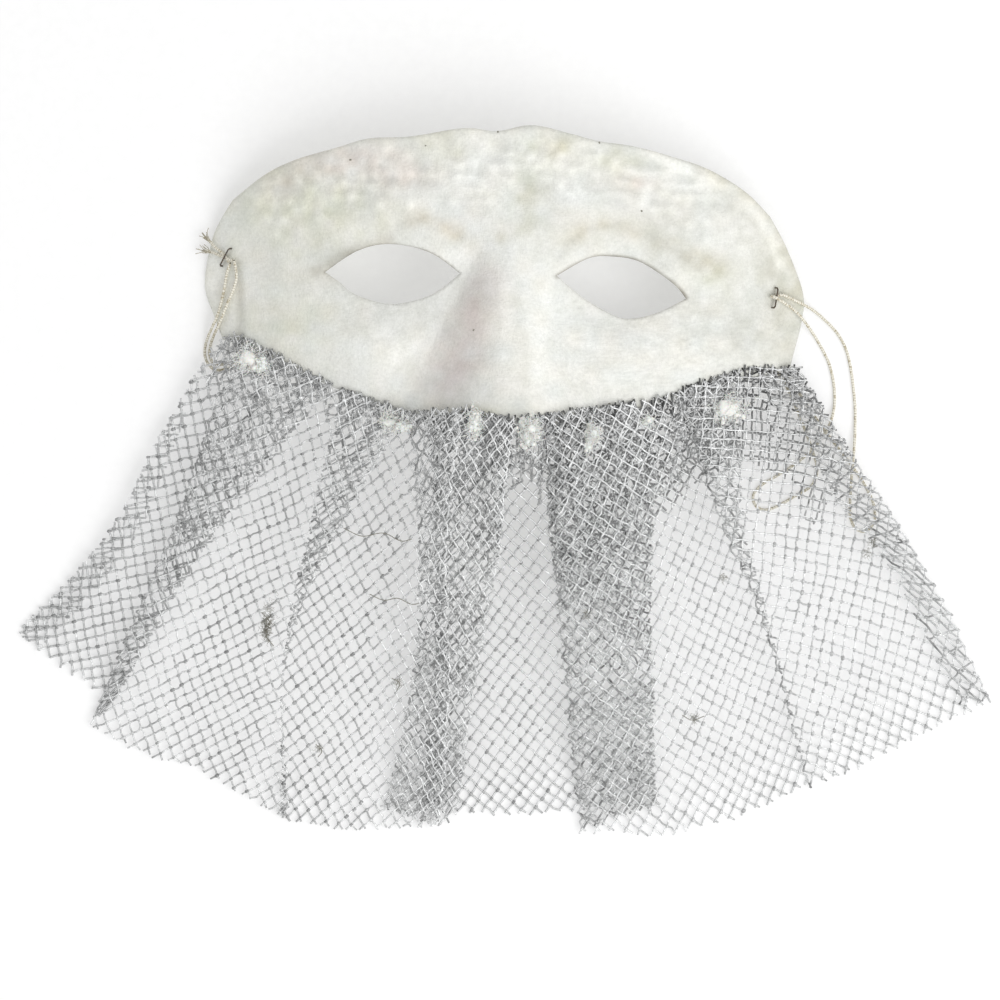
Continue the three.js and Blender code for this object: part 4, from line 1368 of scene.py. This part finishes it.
TANGLES = [  # pixel of the picture, reach in millimetres and threads
    ((268, 622), 1.3, 110), ((266, 632), 1.1, 90), ((271, 608), 1.8, 30), ((398, 681), 0.5, 26),
    ((723, 578), 0.5, 22), ((586, 614), 0.5, 22), ((319, 748), 0.5, 24), ((694, 717), 0.5, 24),
    ((873, 541), 0.6, 30), ((866, 553), 0.5, 20),
]
TUFT_RISE = 2.2
SNAG_RISE = 1.8
TANGLE_RISE = 1.4


def dirt_specks():
    """Small dark lumps on the felt's front."""
    random = np.random.default_rng(9)
    places = np.array([at_pixel(*pixel) for pixel in SPECKS])
    on_face = to_face(places).T
    heights = front_height(*on_face) + felt_relief(*on_face)
    sizes = random.uniform(0.4, 0.75, (len(places), 1)) * (1.2, 0.9, 0.5)
    return lumps(np.column_stack([places, heights]), sizes, random.uniform(0, 3, len(places)))


fibres, flakes = [], []
for n, (pixel, reach, count) in enumerate(TUFTS):
    middle = over_net(pixel, TUFT_RISE)[0]
    fibres += wander(middle, np.array(reach), count, 100 + n, 0.12)
    flakes.append(flock(middle, reach, count, 300 + n))
tufts = piece_of("felt_tufts", *joined(fibres), "glue")
heaps = piece_of("felt_flakes", *joined(flakes), "glue")
made = [tube(smooth_line(over_net(snag, SNAG_RISE), 0.5), 0.12, 5) for snag in SNAGS]
for n, (pixel, reach, count) in enumerate(TANGLES):
    middle = over_net(pixel, TANGLE_RISE)[0]
    made += wander(middle, np.array([reach, reach * 2.2]), count, 200 + n, 0.07, 0.4)
snags = piece_of("veil_snags", *joined(made), "net")
specks = piece_of("felt_specks", *dirt_specks(), "felt")
print("%d tufts, %d snags, %d specks" % (len(TUFTS), len(SNAGS) + len(TANGLES), len(SPECKS)))

# %% [markdown]
# ## Tools for finishes
# A finish is a small tree of nodes, and written out in full each tree is long. A class with short
# functions keeps them readable: one adds a node and sets its inputs, one makes noise in the object's
# own coordinates, so that the grain has its real size, and one turns a value into a colour through
# a ramp. Values that are even over a whole finish are set on the shader's own sockets.

# %% Finish helpers
class Finish:
    """A new material with its shader, whose even values are set on the shader's own sockets."""

    def __init__(self, name, **values):
        self.material = bpy.data.materials.new(name)
        self.material.use_nodes = True
        self.tree = self.material.node_tree
        self.shader = self.tree.nodes["Principled BSDF"]
        for socket, value in values.items():
            self.shader.inputs[socket.replace("_", " ")].default_value = value
        self.place = self.add("ShaderNodeTexCoord").outputs["Object"]

    def add(self, kind, **inputs):
        node = self.tree.nodes.new(kind)
        for socket, value in inputs.items():
            self.put(node.inputs[socket.replace("_", " ")], value)
        return node

    def put(self, socket, value):
        if isinstance(value, bpy.types.NodeSocket):
            self.tree.links.new(value, socket)
        else:
            socket.default_value = value

    def noise(self, size_mm, detail=3.0, stretch=None, roughness=0.55):
        """Noise with features of about this size, drawn out along one way if stretched."""
        place = self.place
        if stretch:
            scaled = self.add("ShaderNodeMapping", Vector=place, Scale=stretch)
            place = scaled.outputs["Vector"]
        node = self.add("ShaderNodeTexNoise", Vector=place, Scale=1 / (size_mm * MM),
                        Detail=detail, Roughness=roughness)
        return node.outputs["Fac"]

    def math(self, operation, a, b=0.0):
        node = self.tree.nodes.new("ShaderNodeMath")
        node.operation = operation
        self.put(node.inputs[0], a)
        self.put(node.inputs[1], b)
        return node.outputs[0]

    def ramp(self, value, *stops):
        """A colour for each value, from pairs of a place and a colour."""
        node = self.add("ShaderNodeValToRGB", Fac=value)
        elements = node.color_ramp.elements
        while len(elements) < len(stops):
            elements.new(0.5)
        for element, (place, colour) in zip(elements, stops):
            element.position = place
            element.color = (*colour, 1)
        return node.outputs["Color"]

    def mottle(self, size_mm, detail, *stops):
        """A colour that changes from place to place with noise of about this size."""
        return self.ramp(self.noise(size_mm, detail), *stops)

    def times(self, a, b):
        return self.mix(1.0, a, b, "MULTIPLY")

    def mix(self, amount, a, b, blend="MIX"):
        node = self.tree.nodes.new("ShaderNodeMix")
        node.data_type = "RGBA"
        node.blend_type = blend
        self.put(node.inputs[0], amount)
        self.put(node.inputs[6], a)
        self.put(node.inputs[7], b)
        return node.outputs[2]

    def stored(self, name, output="Fac"):
        node = self.tree.nodes.new("ShaderNodeAttribute")
        node.attribute_name = name
        return node.outputs[output]

    def colour(self, value):
        self.put(self.shader.inputs["Base Color"], value)

    def bump(self, height, depth_mm, strength=1.0):
        node = self.add("ShaderNodeBump", Height=height, Distance=depth_mm * MM, Strength=strength)
        self.tree.links.new(node.outputs["Normal"], self.shader.inputs["Normal"])

    def give(self, *pieces):
        for piece in pieces:
            piece.data.materials.clear()
            piece.data.materials.append(self.material)


def grey(value):
    return (value, value, value)


print("ready to make finishes")

# %% [markdown]
# ## Stains and painted light of the felt
# Age has toned the felt unevenly: brown along the brow folds, pinkish on the left of the forehead,
# olive and grey in patches, grey over the right temple, and darker along the rims. Painted light and
# shade go in with the stains: painted shade on the left of the face, on the nose's left flank under
# its pink, under the left eye's upper lid and at its outer corner, in the temple's crease, in the
# brow folds, along the eyes' upper cut edges, at the staples and on the right rim's rolled side, and
# painted highlights on the nose's ridge and right flank, at the lids, under the left eye and on an
# arc of the right temple. Stains could be made of noise, but these belong to this one mask, so each
# is painted on the vertices as a soft patch or a soft line of colour, and the finish multiplies its
# own even colour by it. Raised spots are painted lighter and hollows darker, as painted light and
# shade of the relief, so the relief goes into the colour as well.

# %% Stains and painted light of the felt
FELT_WHITE = np.array([0.835, 0.835, 0.8])
BROWN = np.array([0.86, 0.8, 0.7])
PALE_BROWN = np.array([0.875, 0.85, 0.785])
PINK = np.array([0.94, 0.885, 0.875])
MAUVE = np.array([0.93, 0.885, 0.885])
CREASE_SHADE = np.array([0.62, 0.575, 0.52])
LID_SHADE = np.array([0.73, 0.71, 0.67])
EDGE = np.array([0.42, 0.39, 0.35])
OLIVE = np.array([0.93, 0.935, 0.87])
GREYED = np.array([0.88, 0.88, 0.865])
PAINTED_LIGHT = np.array([1.1, 1.1, 1.1])
PAINTED_HIGHLIGHT = np.array([1.17, 1.17, 1.18])
RIM_DARKENING = np.array([0.85, 0.845, 0.79])
PATCHES = [  # colour, and each patch's middle on the face with its reach across and along
    (PINK, [(-55, 32, 9, 4), (-42, 33, 12, 5), (-64, 25, 5, 4), (-30, 29, 7, 4), (36, 30, 6, 3)]),
    # olive tint; the three patches on the left of the face are also painted shade of the side turned
    # from the lamp
    (OLIVE, [(-66, 20, 20, 17), (-48, 18, 16, 8), (-62, -14, 16, 10), (-20, 38, 8, 5), (10, 40, 9, 4),
             (30, 36, 9, 4), (5, 24, 5, 10), (60, 4, 6, 4)]),
    # grey: painted shade at the outer corner of the left eye, grey over the right temple and the
    # forehead's middle
    (GREYED, [(-51, 5, 7, 4.5), (56, 12, 34, 24), (70, -12, 20, 12), (8, 22, 5, 12)]),
    # painted light: lighter patches on the nose's right flank, under the left eye, at the corners of the
    # eyes and at the left temple
    (PAINTED_LIGHT, [(-84, -4, 7, 16), (-30, -20, 14, 7), (9, -14, 7, 14), (-14, 7, 7, 5), (51, 3, 7, 3)]),
    # pink stain and painted shade on the nose's left flank, which turns from the lamp
    (MAUVE, [(-9, -10, 4, 14), (-15, -24, 7, 10)]),
    # darker along the right rim and the nose's lower edge
    (RIM_DARKENING, [(-6, -37, 12, 2.5), (83, 4, 10, 22)]),
    (PALE_BROWN, [(13, 39, 4, 3), (-2, 14, 2.0, 3)]),
]


def on_felt(*pixels):
    """Places on the face for pixels of the picture."""
    return to_face(np.array([at_pixel(*pixel) for pixel in pixels]))


STAIN_AND_SHADE_LINES = [  # colour, points on the face, width and strength
    # brown stain and painted shade in the left brow fold
    (BROWN, [(-28, 17), (-22, 16.6), (-14.5, 13.4)], 2.5, 0.75),
    # painted shade under the left eye's upper lid and at its outer corner
    (LID_SHADE, [(-54.5, 1.5), (-50.6, 3.1), (-47.2, 5.9), (-43.1, 8.1), (-38.5, 9.9), (-33, 11)],
     1.8, 0.6),
    (LID_SHADE, [(-50, 3.6), (-47.2, 5.9), (-44, 7.6)], 1.2, 0.7),
    # pale brown stain and painted shade in the right brow fold
    (PALE_BROWN, [(16, 11.5), (20, 15), (26, 17.2), (34, 16.4), (43.4, 13.7), (54.4, 8.7), (60, 6.6)],
     3.0, 1.0),
    # pink stain and painted shade along the nose's left flank
    (MAUVE, on_felt((488, 282), (478, 312), (462, 352), (444, 388)), 5.5, 0.9),
    # painted highlight along the nose's ridge
    (PAINTED_HIGHLIGHT, on_felt((505, 290), (507, 325), (504, 362)), 1.8, 0.5),
    # painted shade on the nose, just right of its ridge
    (GREYED, on_felt((513, 300), (523, 345), (530, 384)), 2.4, 0.75),
    # painted shade on the right rim's rolled side, with a brown stain
    (PALE_BROWN, on_felt((716, 176), (752, 196), (780, 222), (796, 256), (800, 292)), 3.2, 0.9),
    # painted highlight on a raised arc of the right temple
    (PAINTED_HIGHLIGHT, on_felt((653, 155), (704, 178), (742, 203), (766, 230), (779, 266)), 1.7, 1.0),
    # painted shade beside the highlight of the right temple's arc
    (GREYED, on_felt((716, 190), (750, 218), (768, 250), (772, 274)), 1.8, 0.9),
    # painted shadow with a rust stain at the staples, and painted shadow of the cut edge along the eyes'
    # upper lids
    (EDGE, STAPLES["left"], 0.45, 0.6), (EDGE, STAPLES["right"], 0.45, 0.6),
    (EDGE, EYES["left"]["upper"], 0.42, 0.8), (EDGE, EYES["right"]["upper"], 0.7, 1.0),
    # darker along the upper and left rims
    (RIM_DARKENING, RIM["upper"], 1.7, 0.4), (RIM_DARKENING, RIM["left"], 1.5, 0.2),
    # painted shade in the crease across the left temple
    (CREASE_SHADE, [(-77.2, 4), (-75.8, -8), (-75.4, -20)], 1.4, 0.25),
]
patch_count = sum(len(patches) for _, patches in PATCHES)
print("%d patches and %d lines of stain" % (patch_count, len(STAIN_AND_SHADE_LINES)))

# %% Felt tones
MOTTLING = 0.02
RELIEF_SHADING = 0.15  # painted light and shade of the relief: how much lighter the felt is where it stands a millimetre higher


def felt_tones(x, y):
    """The felt's colour with its painted light and shade, at places on the face, as factors for red,
    green and blue.
    """
    tone = np.ones((len(x), 3))
    for colour, patches in PATCHES:
        for patch in patches:
            strength = 1.1 * hump(x, y, *patch) * (0.75 + 0.5 * soft_noise(x, y, 3, 81))
            tone *= 1 - clipped(strength)[:, None] * (1 - colour)
    for colour, points, width, amount in STAIN_AND_SHADE_LINES:
        strength = amount * crease(x, y, points, width) * (0.8 + 0.4 * soft_noise(x, y, 3, 82))
        tone *= 1 - clipped(strength)[:, None] * (1 - colour)
    broad, middling, fine = (soft_noise(x, y, size, seed)[:, None] for size, seed in
                             ((5, 84), (2.4, 83), (1.1, 85)))
    tone *= 1 + MOTTLING * (1.1 * middling + 0.9 * fine)
    tone *= 1 + MOTTLING * broad * np.array([1.0, 0.2, -0.6])
    relief = felt_relief(x, y)
    return tone * (1 + RELIEF_SHADING * np.clip(relief - relief.mean(), -0.5, 0.6))[:, None]


tones = np.tile(felt_tones(*felt_places.T), (2, 1))
streaks = np.tile(clipped(hump(*felt_places.T, 48, -22, 42, 22) * 1.6), 2)
paint = felt.data.color_attributes.new("felt_tone", "FLOAT_COLOR", "POINT")
paint.data.foreach_set("color", np.column_stack([tones, streaks]).ravel())
print("tones from %.2f to %.2f" % (tones.min(), tones.max()))

# %% [markdown]
# ## Finish of the felt
# Pressed felt is matt, a mat of short fibres with soft mottling. A picture of felt could be laid on
# it, but noise has no seams and stays sharp from near. Three sizes of it are used: a mottle of a few
# millimetres, a fine grain, and fibres, which are noise drawn out along one way. The right cheek
# shows the fine streaks of the mould, so streaks drawn out along X are mixed in there, by the amount
# that the vertices' colour holds in its fourth value.

# %% Felt finish
finish = Finish("pressed_felt", Roughness=0.96, Specular_IOR_Level=0.25, Sheen_Weight=0.12,
                Sheen_Roughness=0.6)
mottle = finish.mottle(5, 4, (0.3, (0.94, 0.945, 0.92)), (0.7, grey(1.03)))
grain = finish.ramp(finish.noise(0.9, 5, roughness=0.7), (0.3, grey(0.9)), (0.68, grey(1.05)))
fibre = finish.noise(0.5, 3, stretch=(0.35, 1.0, 1.0))
cross_fibre = finish.noise(0.5, 3, stretch=(1.0, 0.35, 1.0))
streak = finish.noise(1.1, 2, stretch=(0.06, 1.0, 1.0))
streak_amount = finish.stored("felt_tone", "Alpha")
streak_tone = finish.ramp(streak, (0.35, grey(0.95)), (0.65, grey(1.03)))
tone = finish.times((*FELT_WHITE, 1), finish.stored("felt_tone", "Color"))
tone = finish.times(finish.times(tone, mottle), grain)
finish.colour(finish.mix(streak_amount, tone, finish.times(tone, streak_tone)))
height = finish.math("ADD", fibre, cross_fibre)
height = finish.math("ADD", height, finish.noise(1.8, 3))
height = finish.math("ADD", height, finish.math("MULTIPLY", streak, streak_amount))
finish.bump(height, 0.22, 0.7)
finish.give(felt)
print("felt finished")

# %% [markdown]
# ## Finish of the net
# The net's thread is wrapped in thin metal. Full metal would mirror its surroundings and turn nearly
# black in places, so the finish is only a quarter metal, over a grey that follows the brightness
# stored on each vertex, painted light and shade included. Fine noise breaks that grey up into
# painted glints of the wrapping.

# %% Net finish
finish = Finish("silver_thread", Metallic=0.25, Roughness=0.4)
glint = finish.mottle(0.55, 2, (0.38, grey(0.78)), (0.66, grey(1.22)))
silver = finish.ramp(finish.stored("silver"), (0.0, grey(0.0)), (1.0, (0.99, 1.0, 1.0)))
finish.colour(finish.times(silver, glint))
finish.bump(finish.noise(0.25, 2), 0.05, 0.6)
finish.give(veil, knots)
print("net finished")

# %% [markdown]
# ## Finish of the elastic and the staples
# The elastic is cream cotton over rubber, flecked with dirt, and the height stored on its vertices
# tells yarn from gap, so painted shade darkens the gaps between the yarns. The staples are dull wire
# with rust. Their solids from the frame have the right shape, so no new mesh is made and they only
# take a finish.

# %% Elastic and staple finishes
finish = Finish("braided_elastic", Roughness=0.85, Specular_IOR_Level=0.3)
# painted shade: the lower a vertex lies between the yarns, the darker it is
yarns = finish.ramp(finish.stored("yarn"), (0.1, (0.42, 0.39, 0.3)), (0.45, (0.78, 0.75, 0.65)),
                    (0.9, (0.93, 0.91, 0.83)))
flecks = finish.mottle(0.8, 3, (0.36, (0.62, 0.57, 0.47)), (0.52, grey(1.0)))
finish.colour(finish.times(yarns, flecks))
finish.bump(finish.noise(0.15, 2, stretch=(1, 1, 0.4)), 0.05, 0.8)
finish.give(*strands.values(), tails, bight)

finish = Finish("staple_wire", Metallic=0.75, Roughness=0.5)
rust = finish.noise(0.5, 4)
finish.colour(finish.ramp(rust, (0.35, (0.07, 0.065, 0.06)), (0.55, (0.13, 0.105, 0.08)),
                          (0.7, (0.2, 0.12, 0.07))))
finish.bump(rust, 0.06, 0.8)
finish.give(bpy.data.objects["staple_left"], bpy.data.objects["staple_right"])
print("elastic and staples finished")

# %% [markdown]
# ## Finish of the glue and the dirt
# The glue has dried whitish and nearly matt, and a little light passes into it, which makes it look
# soft. The tufts share it, as they are the same felt fibre. Specks and snags are grey and brown with
# old dirt, and take one plain mottled finish.

# %% Glue and dirt finishes
finish = Finish("dried_glue", Roughness=0.7, Subsurface_Weight=0.1, Subsurface_Scale=0.001)
finish.colour(finish.mottle(1.2, 4, (0.35, (0.78, 0.77, 0.73)), (0.65, (0.9, 0.9, 0.87))))
finish.bump(finish.noise(0.4, 3), 0.12, 0.7)
finish.give(*glue_drops, tufts, heaps)

finish = Finish("dirt", Roughness=0.9)
finish.colour(finish.mottle(0.4, 3, (0.3, (0.12, 0.11, 0.09)), (0.7, (0.36, 0.35, 0.29))))
finish.bump(finish.noise(0.3, 2), 0.05, 0.8)
finish.give(specks, snags)
print("glue and dirt finished")

# %% [markdown]
# ## Floor and light
# A plain white sheet lies under the mask on a light table, so it glows a little and the shadows on
# it stay pale. Most of the light is even, from a white surround. A large soft lamp to the lower right
# shapes the face: it brightens the right flank of the nose and the upper lids, and leaves the left
# flank and the forehead's roll a little darker. A small lamp would do that with hard edges, which
# felt under studio light doesn't show.

# %% Stage
FLOOR_SIZE = 3.0  # metres, as all sizes of the stage
SHEET_TONE = 0.67
SHEET_GLOW = 0.32
SURROUND = 0.7
LAMP_PLACE = (0.75, -0.45, 1.15)
LAMP_POWER = 12
LAMP_SIZE = 1.2

half = FLOOR_SIZE / 2
floor_mesh = bpy.data.meshes.new("floor")
floor_mesh.from_pydata([(-half, -half, 0), (half, -half, 0), (half, half, 0), (-half, half, 0)],
                       [], [(0, 1, 2, 3)])
floor = bpy.data.objects.new("floor", floor_mesh)
bpy.context.collection.objects.link(floor)
finish = Finish("white_sheet", Roughness=1.0, Specular_IOR_Level=0.0,
                Emission_Color=(1, 1, 1, 1), Emission_Strength=SHEET_GLOW)
finish.colour(finish.mottle(3, 2, (0.3, grey(SHEET_TONE - 0.01)), (0.7, grey(SHEET_TONE + 0.01))))
finish.give(floor)

world = bpy.data.worlds.new("surround")
world.use_nodes = True
background = world.node_tree.nodes["Background"]
background.inputs["Color"].default_value = (1, 1, 1, 1)
background.inputs["Strength"].default_value = SURROUND
bpy.context.scene.world = world
lamp = bpy.data.objects.new("lamp", bpy.data.lights.new("lamp", "AREA"))
lamp.data.energy = LAMP_POWER
lamp.data.size = LAMP_SIZE
lamp.location = LAMP_PLACE
lamp.rotation_euler = (-Vector(LAMP_PLACE)).to_track_quat("-Z", "Y").to_euler()
bpy.context.collection.objects.link(lamp)
bpy.context.scene.view_settings.view_transform = "Standard"
print("stage set")

# %% [markdown]
# ## What is soft
# The two strands are real cord and the veil is real net. Here each strand's centres, stored on it
# in metres, are read back and taken off it, and the length of its route is measured again.

# %% Cords
for name, strand in strands.items():
    centres = np.array(strand["centres"]).reshape(-1, 3)
    del strand["centres"]
    route_length(soft_route(STRAND_ROUTES[name]))
print("%d cords and a sheet declared" % len(strands))

# %% [markdown]
# ## End

# %% End
print("scene built")
